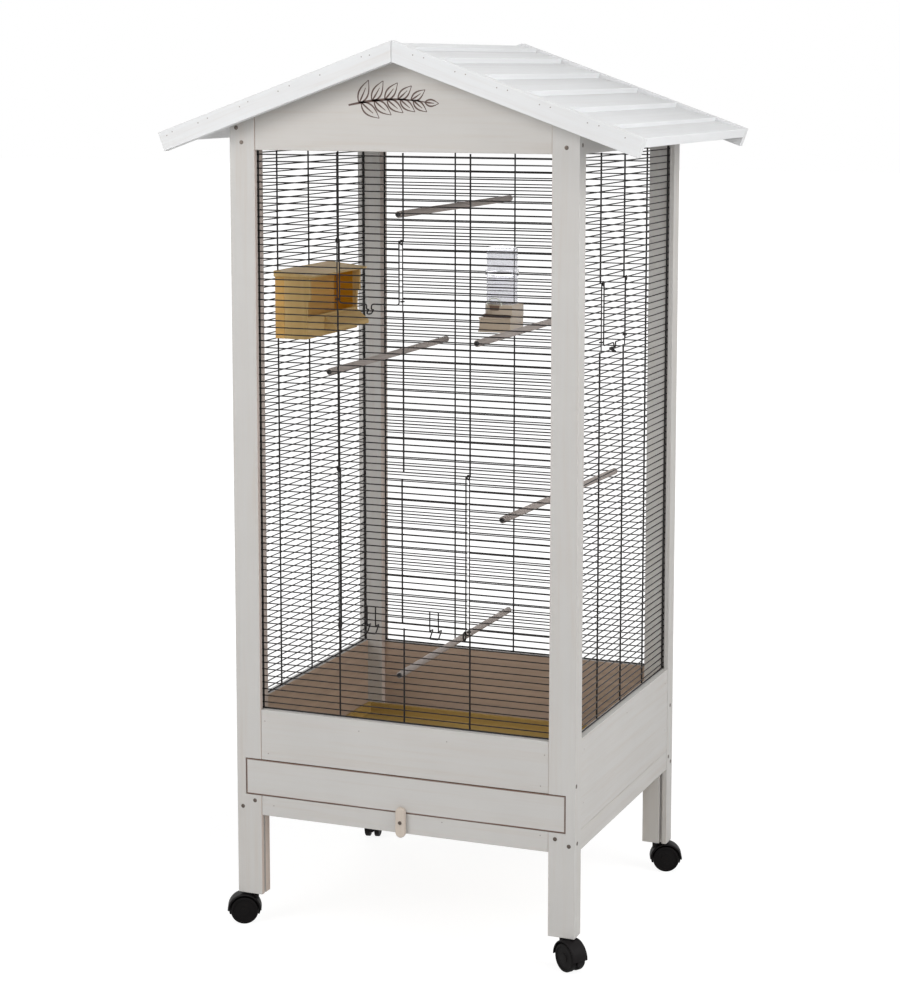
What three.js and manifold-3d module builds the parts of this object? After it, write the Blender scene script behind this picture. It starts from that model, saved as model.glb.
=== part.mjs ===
// Wooden bird aviary on four swivel casters: a white-washed frame with a lapped gable roof,
// wire panels on four sides, lift-up doors, a litter drawer behind a turn button, perches,
// a nest box and a feeder.
// Millimetres. X runs to the right, Y to the back, Z up from the floor. The origin lies on the floor
// under the middle of the aviary.
import * as THREE from 'three';
import { mergeVertices } from 'three/addons/utils/BufferGeometryUtils.js';
import Module from 'manifold-3d';

const wasm = await Module();
wasm.setup();

// Whole aviary
const bodyWidth = 640;
const bodyDepth = 572;
const casterHeight = 58;
const fitGap = 0.3;
const cutOverrun = 5;

// Posts
const postWidth = 48;
const postDepth = 32;
const grooveWidth = 5;
const grooveDepth = 8;
const grooveSetback = 12;

// Boards between the posts, from the bottom up
const legLength = 148;
const bottomRailHeight = 36;
const drawerHoleHeight = 67;
const frontPanelHeight = 91;
const sidePanelHeight = 160;
const panelThickness = 17;
const panelSetback = 1;
const runnerThickness = 29;
const gableBottomHeight = 1334;
const topRailHeight = 54;

// Roof
const roofPitch = THREE.MathUtils.degToRad(19.6);
const eaveOverhang = 121;
const roofOverhang = 35;
const roofBoardThickness = 17;
const roofBoardStep = 9;
const fullRoofBoards = 4;
const ridgeStripWidth = 33;
const secondBoardWidth = 54;
const lastBoardWidth = 61;
const bargeboardHeight = 34;
const bargeboardThickness = 16;

// Wire panels and doors
const rowSpacing = 12;
const rowWire = 2;
const panelWire = 2.2;
const uprightWire = 3;
const edgeBarWidth = 10;
const frontUprightSpacing = 122.5;
const sideUprightSpacing = 131;
const lowerDoorRow = 14;
const lowerDoorRows = 23;
const upperDoorRow = 60;
const sideDoorRow = 54;
const smallDoorRows = 10;
const eyeHeight = 14;
const guideRingHeight = 8;
const guideRingLift = 1;
const guideRingReach = 3.5;
const lowerCatchOffset = 59;
const lowerCatchWidth = 18;
const lowerCatchRows = 4;
const smallCatchWidth = 8;
const catchDrop = 2;

// Drawer and its turn button
const drawerFrontThickness = 15;
const drawerReveal = 2;
const postWebWidth = 17;
const trayWall = 8;
const trayFloor = 3;
const trayHeight = 35;
const trayBackClearance = 3.7;
const traySideClearance = 2;
const buttonLength = 54;
const buttonWidth = 18;
const buttonThickness = 8;
const buttonOverhang = 6;
const buttonClearance = 1.5;
const buttonScrewRadius = 3.5;
const buttonScrewHeight = 1.5;

// Perches: height above the leg bottoms, place left or right of the middle or of a post, and shift of
// the far end
const perchRadius = 6;
const perchPlugRadius = 4.3;
const perchPlugLength = 4;
const middlePerchAcross = -9.5;
const topPerchHeight = 1228;
const bottomPerchHeight = 427;
const nestPerchInset = 132;
const nestPerchHeight = 953;
const feederPerchInset = 138;
const feederPerchHeight = 1014;
const lowPerchInset = 92;
const lowPerchHeight = 715;
const lowPerchShift = 25;

// Nest box on the left wire panel
const nestLength = 222;
const nestHeight = 115;
const nestDepth = 62;
const nestWall = 6;
const nestBackWall = 12;
const nestFrontHeight = 40;
const nestBottomHeight = 991;
const nestMiddle = -35;
const nestRoofOverhang = 6;
const nestRoofReach = 18;
const nestRoofFall = 8;
const nestLedgeReach = 24;
const nestLedgeLength = 146;
const nestLedgeDrop = 4;
const nestLedgeFall = 20;
const nestLedgeLip = 7;

// Feeder on the back wire panel
const feederAcross = -13;
const feederBottomHeight = 978;
const troughWidth = 65;
const troughDepth = 74;
const troughHeight = 28;
const troughWall = 2.5;
const mouthHeight = 5;
const mouthReach = 12;
const neckRadius = 32;
const neckHeight = 24;
const hopperRadius = 29.5;
const hopperWall = 2;
const hopperHeight = 123;
const hopperRingRadius = 32;
const hopperRingHeight = 13;
const hopperRingLift = 69;

// Casters
const wheelRadius = 25;
const wheelWidth = 10;
const wheelGap = 9.6;
const axleRadius = 3.5;
const axleClearance = 0.5;
const casterTrail = 18;
const webThickness = 8.4;
const webReach = THREE.MathUtils.degToRad(20);
const hoodRadius = 30.5;
const hoodWall = 2;
const hoodWidth = 31;
const stemRadius = 4.5;
const stemLength = 24;
const stemClearance = 0.8;
const socketRadius = 8;
const socketHeight = 14;
const hoodTop = 54;
const wheelSides = 24;
const roundSides = 12;

// Heights above the floor
const railBottom = casterHeight + legLength;
const railTop = railBottom + bottomRailHeight;
const drawerHoleTop = railTop + drawerHoleHeight;
const frontPanelTop = drawerHoleTop + frontPanelHeight;
const sidePanelTop = railTop + sidePanelHeight;
const gableBottom = casterHeight + gableBottomHeight;
const buttonTop = railBottom - buttonOverhang + buttonLength;

// Places of the outer and inner faces
const halfWidth = bodyWidth / 2;
const halfDepth = bodyDepth / 2;
const postInnerX = halfWidth - postWidth;
const postInnerY = halfDepth - postDepth;
const frontPlane = halfDepth - grooveSetback;
const sidePlane = halfWidth - grooveSetback;
const panelOuterX = halfWidth - panelSetback;
const panelOuterY = halfDepth - panelSetback;
const postCentreX = halfWidth - postWidth / 2;
const postCentreY = halfDepth - postDepth / 2;
const wireLayer = panelWire + fitGap;

// The ridge follows from the side rails under the roof
const ceilingDepth = roofBoardThickness + fitGap;
const eaveRise = panelOuterX * Math.tan(roofPitch) + ceilingDepth / Math.cos(roofPitch);
const ridgeTop = gableBottom + topRailHeight + eaveRise;
const slopeLength = (halfWidth + eaveOverhang) / Math.cos(roofPitch);
const narrowBoards = ridgeStripWidth + secondBoardWidth + lastBoardWidth;
const roofBoardWidth = (slopeLength - narrowBoards) / fullRoofBoards;

const materials = {
  whitewash: new THREE.MeshStandardMaterial({ color: 0xd9d5cf, roughness: 0.75, metalness: 0 }),
  wire: new THREE.MeshStandardMaterial({ color: 0x1d1b1a, roughness: 0.45, metalness: 0.5 }),
  tray: new THREE.MeshStandardMaterial({ color: 0xb98a3c, roughness: 0.7, metalness: 0 }),
  button: new THREE.MeshStandardMaterial({ color: 0xc9a68c, roughness: 0.6, metalness: 0 }),
  perch: new THREE.MeshStandardMaterial({ color: 0x8d8078, roughness: 0.7, metalness: 0 }),
  nest: new THREE.MeshStandardMaterial({ color: 0xa9885a, roughness: 0.75, metalness: 0 }),
  hopper: new THREE.MeshStandardMaterial({
    color: 0xdfe3e6, roughness: 0.1, metalness: 0, transparent: true, opacity: 0.35,
  }),
  trough: new THREE.MeshStandardMaterial({ color: 0x9a8a77, roughness: 0.5, metalness: 0 }),
  caster: new THREE.MeshStandardMaterial({ color: 0x161616, roughness: 0.5, metalness: 0 }),
};

// Solids

function solidOf(geometry) {
  const bare = geometry.clone();
  bare.deleteAttribute('normal');
  bare.deleteAttribute('uv');
  const welded = mergeVertices(bare);
  return new wasm.Manifold(new wasm.Mesh({
    numProp: 3,
    vertProperties: new Float32Array(welded.attributes.position.array),
    triVerts: new Uint32Array(welded.index.array),
  }));
}

function geometryOf(solid) {
  const mesh = solid.getMesh();
  const geometry = new THREE.BufferGeometry();
  geometry.setAttribute('position', new THREE.BufferAttribute(mesh.vertProperties, 3));
  geometry.setIndex(new THREE.BufferAttribute(mesh.triVerts, 1));
  return geometry;
}

function joined(...geometries) {
  return geometryOf(geometries.map(solidOf).reduce((sum, solid) => sum.add(solid)));
}

function cut(geometry, ...tools) {
  return geometryOf(tools.map(solidOf).reduce((rest, tool) => rest.subtract(tool), solidOf(geometry)));
}

// A block between two corners, given as a span along each axis in either order
function block(spanX, spanY, spanZ) {
  const low = new THREE.Vector3(Math.min(...spanX), Math.min(...spanY), Math.min(...spanZ));
  const high = new THREE.Vector3(Math.max(...spanX), Math.max(...spanY), Math.max(...spanZ));
  const size = high.clone().sub(low);
  const centre = low.add(high).multiplyScalar(0.5);
  return new THREE.BoxGeometry(size.x, size.y, size.z).translate(centre.x, centre.y, centre.z);
}

function outline(points) {
  return new THREE.Shape(points.map(([across, up]) => new THREE.Vector2(across, up)));
}

function extruded(shape, depth) {
  return new THREE.ExtrudeGeometry(shape, { depth, bevelEnabled: false, curveSegments: roundSides });
}

// An outline in X and Z, extruded along Y between two places
function alongY(shape, spanY) {
  const front = Math.min(...spanY);
  const back = Math.max(...spanY);
  return extruded(shape, back - front).rotateX(Math.PI / 2).translate(0, back, 0);
}

// An outline in Y and Z, extruded along X between two places
function alongX(shape, spanX) {
  const left = Math.min(...spanX);
  const right = Math.max(...spanX);
  return extruded(shape, right - left).rotateX(Math.PI / 2).rotateZ(Math.PI / 2).translate(left, 0, 0);
}

// An outline in X and Y, extruded upwards between two heights
function alongZ(shape, spanZ) {
  const low = Math.min(...spanZ);
  return extruded(shape, Math.max(...spanZ) - low).translate(0, 0, low);
}

function upright(radius, centreX, centreY, spanZ, sides) {
  const low = Math.min(...spanZ);
  const height = Math.max(...spanZ) - low;
  return new THREE.CylinderGeometry(radius, radius, height, sides)
    .rotateX(Math.PI / 2)
    .translate(centreX, centreY, low + height / 2);
}

const root = new THREE.Group();

function addPiece(name, geometry, material, parent = root) {
  const mesh = new THREE.Mesh(geometry, materials[material]);
  mesh.name = name;
  parent.add(mesh);
  return mesh;
}

// Roof surfaces: depth is measured square to the slope, down from the bargeboards' top edge

function slopeHeight(across, depth) {
  return ridgeTop - Math.abs(across) * Math.tan(roofPitch) - depth / Math.cos(roofPitch);
}

function slopePoint(along, depth, side) {
  const across = along * Math.cos(roofPitch) - depth * Math.sin(roofPitch);
  const up = ridgeTop - along * Math.sin(roofPitch) - depth * Math.cos(roofPitch);
  return [side * across, up];
}

function ridgePoint(depth, side) {
  return [side * fitGap / 2, slopeHeight(fitGap / 2, depth)];
}

function ceilingHeight(across) {
  return slopeHeight(across, ceilingDepth);
}

// Posts: grooved for the wire panels, bored for the casters, cut to the slope of the roof

function makePost(sideX, sideY) {
  const post = block(
    [sideX * postInnerX, sideX * halfWidth],
    [sideY * postInnerY, sideY * halfDepth],
    [casterHeight, ridgeTop],
  );
  const full = [casterHeight - cutOverrun, ridgeTop + cutOverrun];
  const grooveX = block(
    [sideX * (postInnerX - cutOverrun), sideX * (postInnerX + grooveDepth)],
    [sideY * (frontPlane - grooveWidth / 2), sideY * (frontPlane + grooveWidth / 2)],
    full,
  );
  const grooveY = block(
    [sideX * (sidePlane - grooveWidth / 2), sideX * (sidePlane + grooveWidth / 2)],
    [sideY * (postInnerY - cutOverrun), sideY * (postInnerY + grooveDepth)],
    full,
  );
  const inner = postInnerX - cutOverrun;
  const outer = halfWidth + cutOverrun;
  const roofWedge = alongY(outline([
    [sideX * inner, ceilingHeight(inner)],
    [sideX * outer, ceilingHeight(outer)],
    [sideX * outer, ridgeTop + cutOverrun],
    [sideX * inner, ridgeTop + cutOverrun],
  ]), [sideY * (postInnerY - cutOverrun), sideY * (halfDepth + cutOverrun)]);
  const stemBore = upright(
    stemRadius + stemClearance, sideX * postCentreX, sideY * postCentreY,
    [casterHeight - cutOverrun, casterHeight + stemLength + fitGap], roundSides,
  );
  const cuts = [grooveX, grooveY, roofWedge, stemBore];
  if (sideY < 0) {
    cuts.push(block(
      [sideX * (postInnerX - cutOverrun), sideX * (halfWidth - postWebWidth)],
      [sideY * (postInnerY - cutOverrun), sideY * (halfDepth + cutOverrun)],
      [railTop, drawerHoleTop],
    ));
  }
  return cut(post, ...cuts);
}

for (const [endName, sideY] of [['front', -1], ['back', 1]]) {
  for (const [sideName, sideX] of [['left', -1], ['right', 1]]) {
    addPiece(`post_${endName}_${sideName}`, makePost(sideX, sideY), 'whitewash');
  }
}

// Boards between the posts

const crossSpan = [-postInnerX + fitGap, postInnerX - fitGap];
const lengthSpan = [-postInnerY + fitGap, postInnerY - fitGap];

for (const [endName, sideY] of [['front', -1], ['back', 1]]) {
  const thickness = [sideY * (panelOuterY - panelThickness), sideY * panelOuterY];
  const [left, right] = crossSpan;
  const gable = outline([
    [left, gableBottom],
    [right, gableBottom],
    [right, ceilingHeight(right)],
    [0, ceilingHeight(0)],
    [left, ceilingHeight(left)],
  ]);
  addPiece(`gable_panel_${endName}`, alongY(gable, thickness), 'whitewash');
  const panelBottom = sideY < 0 ? drawerHoleTop : railTop + fitGap;
  addPiece(`lower_panel_${endName}`, block(crossSpan, thickness, [panelBottom, frontPanelTop]), 'whitewash');
  addPiece(`bottom_rail_${endName}`, block(crossSpan, thickness, [railBottom, railTop]), 'whitewash');
}

for (const [sideName, sideX] of [['left', -1], ['right', 1]]) {
  const panelInnerX = panelOuterX - panelThickness;
  const thickness = [sideX * panelInnerX, sideX * panelOuterX];
  const topRail = outline([
    [sideX * panelInnerX, gableBottom],
    [sideX * panelOuterX, gableBottom],
    [sideX * panelOuterX, ceilingHeight(panelOuterX)],
    [sideX * panelInnerX, ceilingHeight(panelInnerX)],
  ]);
  addPiece(`top_rail_${sideName}`, alongY(topRail, lengthSpan), 'whitewash');
  const panelHeights = [railTop + fitGap, sidePanelTop];
  addPiece(`lower_panel_${sideName}`, block(thickness, lengthSpan, panelHeights), 'whitewash');
  const runnerSpan = [sideX * (panelOuterX - runnerThickness), sideX * panelOuterX];
  addPiece(`bottom_rail_${sideName}`, block(runnerSpan, lengthSpan, [railBottom, railTop]), 'whitewash');
}

// Roof: bargeboards at both ends, and boards lapped down each slope between them

const roofEnd = halfDepth + roofOverhang;
const roofBoardEnd = roofEnd - bargeboardThickness - fitGap;

function makeBargeboard(side, spanY) {
  return alongY(outline([
    ridgePoint(0, side),
    slopePoint(slopeLength, 0, side),
    slopePoint(slopeLength, bargeboardHeight, side),
    ridgePoint(bargeboardHeight, side),
  ]), spanY);
}

// A board is thick at its lower edge and thins towards its upper edge
function makeRoofBoard(side, top, bottom) {
  const upperDepth = (bottom - top) * roofBoardStep / roofBoardWidth;
  const upperEdge = top === 0
    ? [ridgePoint(roofBoardThickness, side), ridgePoint(upperDepth, side)]
    : [slopePoint(top + fitGap, roofBoardThickness, side), slopePoint(top + fitGap, upperDepth, side)];
  return alongY(outline([
    ...upperEdge,
    slopePoint(bottom, 0, side),
    slopePoint(bottom, roofBoardThickness, side),
  ]), [-roofBoardEnd, roofBoardEnd]);
}

const roofBoardWidths = [
  ridgeStripWidth,
  secondBoardWidth,
  ...Array(fullRoofBoards).fill(roofBoardWidth),
  lastBoardWidth,
];

for (const [sideName, side] of [['left', -1], ['right', 1]]) {
  const frontSpan = [-roofEnd, -roofEnd + bargeboardThickness];
  const backSpan = [roofEnd - bargeboardThickness, roofEnd];
  addPiece(`bargeboard_front_${sideName}`, makeBargeboard(side, frontSpan), 'whitewash');
  addPiece(`bargeboard_back_${sideName}`, makeBargeboard(side, backSpan), 'whitewash');
  let top = 0;
  roofBoardWidths.forEach((width, index) => {
    const board = makeRoofBoard(side, top, top + width);
    addPiece(`roof_board_${sideName}_${index + 1}`, board, 'whitewash');
    top += width;
  });
}

// Wire panels. A panel is drawn flat: across runs along it and depth runs inwards from its outer face.
// Rows and edge bars share one layer, and the uprights lie behind it, joined to it at their ends.
// Beside a doorway the uprights lie in the layer itself, as guides for the door.

const gridBottom = frontPanelTop + fitGap;
const grilleTop = gableBottom - fitGap;
const gridRows = Math.floor((grilleTop - gridBottom) / rowSpacing);

function rowHeight(row) {
  return gridBottom + row * rowSpacing;
}

// A flat sheet with rectangular openings, each given as its spans across and upwards
function pierced(across, layer, heights, openings) {
  const [outer, inner] = layer;
  const through = [outer - cutOverrun, inner + cutOverrun];
  const tools = openings.map(([width, height]) => block(width, through, height));
  return cut(block(across, layer, heights), ...tools);
}

function grilleSheet(grille) {
  const openings = grille.doors.map((door) => [
    [door.left + uprightWire / 2, door.right - uprightWire / 2],
    [rowHeight(door.row) + rowWire / 2, rowHeight(door.row + door.rows) - rowWire / 2],
  ]);
  const open = grille.half - edgeBarWidth;
  for (let row = 0; row <= gridRows; row += 1) {
    const height = [
      row === 0 ? grille.bottom + rowWire : rowHeight(row) + rowWire / 2,
      row === gridRows ? grilleTop - rowWire : rowHeight(row + 1) - rowWire / 2,
    ];
    let left = -open;
    for (const door of grille.doors) {
      if (row >= door.row && row < door.row + door.rows) {
        openings.push([[left, door.left - uprightWire / 2], height]);
        left = door.right + uprightWire / 2;
      }
    }
    openings.push([[left, open], height]);
  }
  const layer = [-panelWire / 2, panelWire / 2];
  return pierced([-grille.half, grille.half], layer, [grille.bottom, grilleTop], openings);
}

// Stretches of an upright that no doorway interrupts
function uprightStretches(grille, across) {
  const stretches = [];
  let low = grille.bottom;
  for (const door of grille.doors.filter(({ left, right }) => across >= left && across <= right)) {
    stretches.push([low, rowHeight(door.row) + rowWire / 2]);
    low = rowHeight(door.row + door.rows) - rowWire / 2;
  }
  stretches.push([low, grilleTop]);
  return stretches;
}

// A wire that stands off the layer and turns into it at both ends, drawn in depth and height
function staple(low, high, direction) {
  const back = direction * (wireLayer + panelWire);
  const inner = direction * wireLayer;
  return outline([
    [0, low],
    [back, low],
    [back, high],
    [0, high],
    [0, high - rowWire],
    [inner, high - rowWire],
    [inner, low + rowWire],
    [0, low + rowWire],
  ]);
}

// The panel flat on the X and Z axes, with its outer face towards -Y and its middle layer on Y = 0
function makeGrille(grille) {
  const wires = grille.uprights.flatMap((across) => uprightStretches(grille, across).map(
    ([low, high]) => alongX(staple(low, high, 1), [across - uprightWire / 2, across + uprightWire / 2])
      .translate(0, -panelWire / 2, 0),
  ));
  return joined(grilleSheet(grille), ...wires);
}

// A lift-up door in front of the panel. Its first row hangs one row above the foot of its doorway.
// Side wires end in eyes over the guide uprights, and a ring holds each of them to its upright.
// Catches reach down to hook under a row of the panel.
function makeDoor(door) {
  const firstRow = door.row + 1;
  const lastRow = door.row + door.rows - 1;
  const low = rowHeight(firstRow) - rowWire / 2;
  const high = rowHeight(lastRow) + rowWire / 2;
  const guide = uprightWire / 2 + fitGap;
  const left = door.left + guide;
  const right = door.right - guide;
  const front = -panelWire / 2 - wireLayer;
  const layer = [front, front + panelWire];
  const openings = [];
  for (let row = firstRow; row < lastRow; row += 1) {
    openings.push([
      [left + uprightWire, right - uprightWire],
      [rowHeight(row) + rowWire / 2, rowHeight(row + 1) - rowWire / 2],
    ]);
  }
  const pieces = [pierced([left, right], layer, [low, high], openings)];
  if (door.middleUpright) {
    const middle = (door.left + door.right) / 2;
    const span = [middle - uprightWire / 2, middle + uprightWire / 2];
    pieces.push(alongX(staple(low, high, -1), span).translate(0, front + panelWire, 0));
  }
  const eyeRows = door.footEyes ? [door.row, door.row + door.rows] : [door.row + door.rows];
  const ringBottom = rowHeight(door.ringRow) + rowWire / 2 + guideRingLift;
  for (const [edge, outward] of [[left, -1], [right, 1]]) {
    const inner = edge - outward * uprightWire;
    const reach = edge + outward * (guide + guideRingReach);
    const back = panelWire / 2 + wireLayer;
    for (const eyeRow of eyeRows) {
      const eyeSpan = [rowHeight(eyeRow) - eyeHeight / 2, rowHeight(eyeRow) + eyeHeight / 2];
      const stem = eyeRow === door.row ? [eyeSpan[0], low + rowWire] : [high - rowWire, eyeSpan[1]];
      pieces.push(block([inner, edge], layer, stem), block([inner, reach], layer, eyeSpan));
    }
    pieces.push(alongZ(outline([
      [inner, front],
      [reach, front],
      [reach, front + panelWire],
      [edge, front + panelWire],
      [edge, back - panelWire],
      [reach, back - panelWire],
      [reach, back],
      [inner, back],
    ]), [ringBottom, ringBottom + guideRingHeight]));
  }
  for (const middle of door.catches) {
    const outer = door.catchWidth / 2;
    const inner = outer - rowWire;
    const foot = rowHeight(door.catchRow) - rowWire / 2 - catchDrop;
    const head = rowHeight(door.catchRow + door.catchRows) + rowWire;
    pieces.push(alongY(outline([
      [middle - outer, foot],
      [middle + outer, foot],
      [middle + outer, head],
      [middle + inner, head],
      [middle + inner, foot + rowWire],
      [middle - inner, foot + rowWire],
      [middle - inner, head],
      [middle - outer, head],
    ]), [front - panelWire, front + panelWire / 2]));
  }
  return joined(...pieces);
}

const lowerDoor = {
  left: -frontUprightSpacing,
  right: frontUprightSpacing,
  row: lowerDoorRow,
  rows: lowerDoorRows,
  middleUpright: true,
  footEyes: true,
  ringRow: lowerDoorRow,
  catches: [-lowerCatchOffset, lowerCatchOffset],
  catchWidth: lowerCatchWidth,
  catchRow: lowerDoorRow - 1,
  catchRows: lowerCatchRows,
};

function planSmallDoor(left, right, row) {
  return {
    left,
    right,
    row,
    rows: smallDoorRows,
    middleUpright: false,
    footEyes: false,
    ringRow: row + 1,
    catches: [(left + right) / 2],
    catchWidth: smallCatchWidth,
    catchRow: row,
    catchRows: 1,
  };
}

const upperDoor = planSmallDoor(-frontUprightSpacing, 0, upperDoorRow);
const sideDoor = planSmallDoor(-sideUprightSpacing, 0, sideDoorRow);

const endHalf = postInnerX + grooveDepth - fitGap;
const sideHalf = postInnerY + grooveDepth - fitGap;
const endUprights = [-frontUprightSpacing, 0, frontUprightSpacing];
const sideUprights = [-sideUprightSpacing, 0, sideUprightSpacing];
const endPanel = { half: endHalf, bottom: gridBottom, uprights: endUprights };
const sidePanel = { half: sideHalf, bottom: sidePanelTop + fitGap, uprights: sideUprights };

function placeOnWall(turn, x, y) {
  const wall = new THREE.Group();
  wall.position.set(x, y, 0);
  wall.rotation.z = turn;
  root.add(wall);
  return wall;
}

const frontWall = placeOnWall(0, 0, -frontPlane);
const rightWall = placeOnWall(Math.PI / 2, sidePlane, 0);
const backWall = placeOnWall(Math.PI, 0, frontPlane);
const leftWall = placeOnWall(-Math.PI / 2, -sidePlane, 0);

addPiece('wire_panel_front', makeGrille({ ...endPanel, doors: [lowerDoor, upperDoor] }), 'wire', frontWall);
addPiece('wire_panel_right', makeGrille({ ...sidePanel, doors: [sideDoor] }), 'wire', rightWall);
addPiece('wire_panel_back', makeGrille({ ...endPanel, doors: [] }), 'wire', backWall);
addPiece('wire_panel_left', makeGrille({ ...sidePanel, doors: [] }), 'wire', leftWall);
addPiece('door_front_lower', makeDoor(lowerDoor), 'wire', frontWall);
addPiece('door_front_upper', makeDoor(upperDoor), 'wire', frontWall);
addPiece('door_side', makeDoor(sideDoor), 'wire', rightWall);

// Drawer: its front fills the hole between the post webs, and its tray slides on the side rails

const drawerHalf = halfWidth - postWebWidth - drawerReveal;
const drawerFrontFace = -panelOuterY;
const drawerBack = drawerFrontFace + drawerFrontThickness;
addPiece('drawer_front', block(
  [-drawerHalf, drawerHalf],
  [drawerFrontFace, drawerBack],
  [railTop + drawerReveal, drawerHoleTop - drawerReveal],
), 'whitewash');

function makeTray() {
  const half = panelOuterX - panelThickness - traySideClearance;
  const front = drawerBack + fitGap;
  const back = postInnerY - trayBackClearance;
  const foot = railTop + fitGap;
  const bottom = buttonTop + buttonClearance;
  const floor = bottom + trayFloor;
  const whole = block([-half, half], [front, back], [foot, foot + trayHeight]);
  const hollow = block(
    [-half + trayWall, half - trayWall],
    [front + trayWall, back - trayWall],
    [floor, foot + trayHeight + cutOverrun],
  );
  const under = block(
    [-half + trayWall, half - trayWall],
    [front - cutOverrun, back + cutOverrun],
    [foot - cutOverrun, bottom],
  );
  return cut(whole, hollow, under);
}

addPiece('drawer_tray', makeTray(), 'tray');

// Turn button: an upright bar with round ends on the front rail, held by one screw in its middle

function makeTurnButton() {
  const middle = buttonTop - buttonLength / 2;
  const radius = buttonWidth / 2;
  const straight = buttonLength / 2 - radius;
  const bar = new THREE.Shape();
  bar.absarc(0, middle + straight, radius, 0, Math.PI, false);
  bar.absarc(0, middle - straight, radius, Math.PI, 2 * Math.PI, false);
  const back = -panelOuterY - fitGap;
  const face = back - buttonThickness;
  const screw = new THREE.CylinderGeometry(
    buttonScrewRadius, buttonScrewRadius, buttonScrewHeight + buttonThickness / 2, roundSides,
  ).translate(0, face - buttonScrewHeight + (buttonScrewHeight + buttonThickness / 2) / 2, middle);
  return joined(alongY(bar, [face, back]), screw);
}

addPiece('turn_button', makeTurnButton(), 'button');

// Perches: round rods with a plug in each end, from the front wire panel to the back one

function addPerch(name, across, height, shift = 0) {
  const half = frontPlane - panelWire / 2 - fitGap;
  const profile = [
    [0, -half],
    [perchPlugRadius, -half],
    [perchPlugRadius, -half + perchPlugLength],
    [perchRadius, -half + perchPlugLength],
    [perchRadius, half - perchPlugLength],
    [perchPlugRadius, half - perchPlugLength],
    [perchPlugRadius, half],
    [0, half],
  ].map(([radius, along]) => new THREE.Vector2(radius, along));
  const perch = addPiece(name, new THREE.LatheGeometry(profile, roundSides), 'perch');
  perch.position.set(across + shift / 2, 0, casterHeight + height);
  perch.rotation.z = -Math.atan2(shift, 2 * half);
}

addPerch('perch_top', middlePerchAcross, topPerchHeight);
addPerch('perch_bottom', middlePerchAcross, bottomPerchHeight);
addPerch('perch_nest', -postInnerX + nestPerchInset, nestPerchHeight);
addPerch('perch_feeder', postInnerX - feederPerchInset, feederPerchHeight);
addPerch('perch_low', postInnerX - lowPerchInset, lowPerchHeight, lowPerchShift);

// Nest box: half-open towards the middle of the aviary, with a falling roof and a sloping ledge

function makeNestBox() {
  const back = -sidePlane + panelWire / 2 + wireLayer + fitGap;
  const front = back + nestDepth;
  const near = nestMiddle - nestLength / 2;
  const far = nestMiddle + nestLength / 2;
  const bottom = casterHeight + nestBottomHeight;
  const top = bottom + nestHeight;
  const frontTop = bottom + nestFrontHeight;
  const shell = block([back, front], [near, far], [bottom, top]);
  const inside = block(
    [back + nestBackWall, front - nestWall],
    [near + nestWall, far - nestWall],
    [bottom + nestWall, top - nestWall],
  );
  const entrance = block(
    [front - nestWall - cutOverrun, front + cutOverrun],
    [near + nestWall, far - nestWall],
    [frontTop, top - nestWall],
  );
  const roof = alongY(outline([
    [back, top - nestWall / 2],
    [front + nestRoofReach, top - nestWall / 2],
    [front + nestRoofReach, top],
    [back, top + nestRoofFall],
  ]), [near - nestRoofOverhang, far + nestRoofOverhang]);
  const ledgeTop = frontTop - nestLedgeDrop;
  const ledgeBottom = ledgeTop - nestLedgeFall - nestLedgeLip;
  const ledge = alongY(outline([
    [front - nestWall / 2, ledgeBottom],
    [front + nestLedgeReach, ledgeBottom],
    [front + nestLedgeReach, ledgeTop - nestLedgeFall],
    [front, ledgeTop],
    [front - nestWall / 2, ledgeTop],
  ]), [far - nestLedgeLength, far]);
  return joined(cut(shell, inside, entrance), roof, ledge);
}

addPiece('nest_box', makeNestBox(), 'nest');

// Feeder: a clear hopper over a neck, which feeds a trough through a slot under its front.
// The neck is round on the left, and flush with the trough's side on the right.

const feederBack = frontPlane - panelWire / 2 - wireLayer - fitGap;
const feederBottom = casterHeight + feederBottomHeight;
const troughTop = feederBottom + troughHeight;
const mouthTop = troughTop + mouthHeight;
const neckFloor = mouthTop + troughWall;
const neckTop = troughTop + neckHeight;
const neckCentreY = feederBack - neckRadius;

function makeTrough() {
  const right = feederAcross + neckRadius;
  const left = right - troughWidth;
  const front = feederBack - troughDepth;
  const neckFront = neckCentreY - neckRadius;
  const body = joined(
    block([left, right], [front, feederBack], [feederBottom, troughTop]),
    upright(neckRadius, feederAcross, neckCentreY, [feederBottom, neckTop], wheelSides),
    block([feederAcross, right], [neckFront, feederBack], [feederBottom, neckTop]),
  );
  const hollow = block(
    [left + troughWall, right - troughWall],
    [front + troughWall, feederBack - troughWall],
    [feederBottom + troughWall, troughTop - troughWall],
  );
  const mouth = block(
    [left + troughWall, right - troughWall],
    [front + troughWall, neckFront + mouthReach],
    [feederBottom + troughWall, mouthTop],
  );
  const seat = upright(
    hopperRadius + fitGap, feederAcross, neckCentreY, [neckFloor, neckTop + cutOverrun], wheelSides,
  );
  const outlet = upright(
    hopperRadius - hopperWall - fitGap, feederAcross, neckCentreY,
    [troughTop - troughWall - cutOverrun, neckFloor + cutOverrun], wheelSides,
  );
  return cut(body, hollow, mouth, seat, outlet);
}

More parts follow.
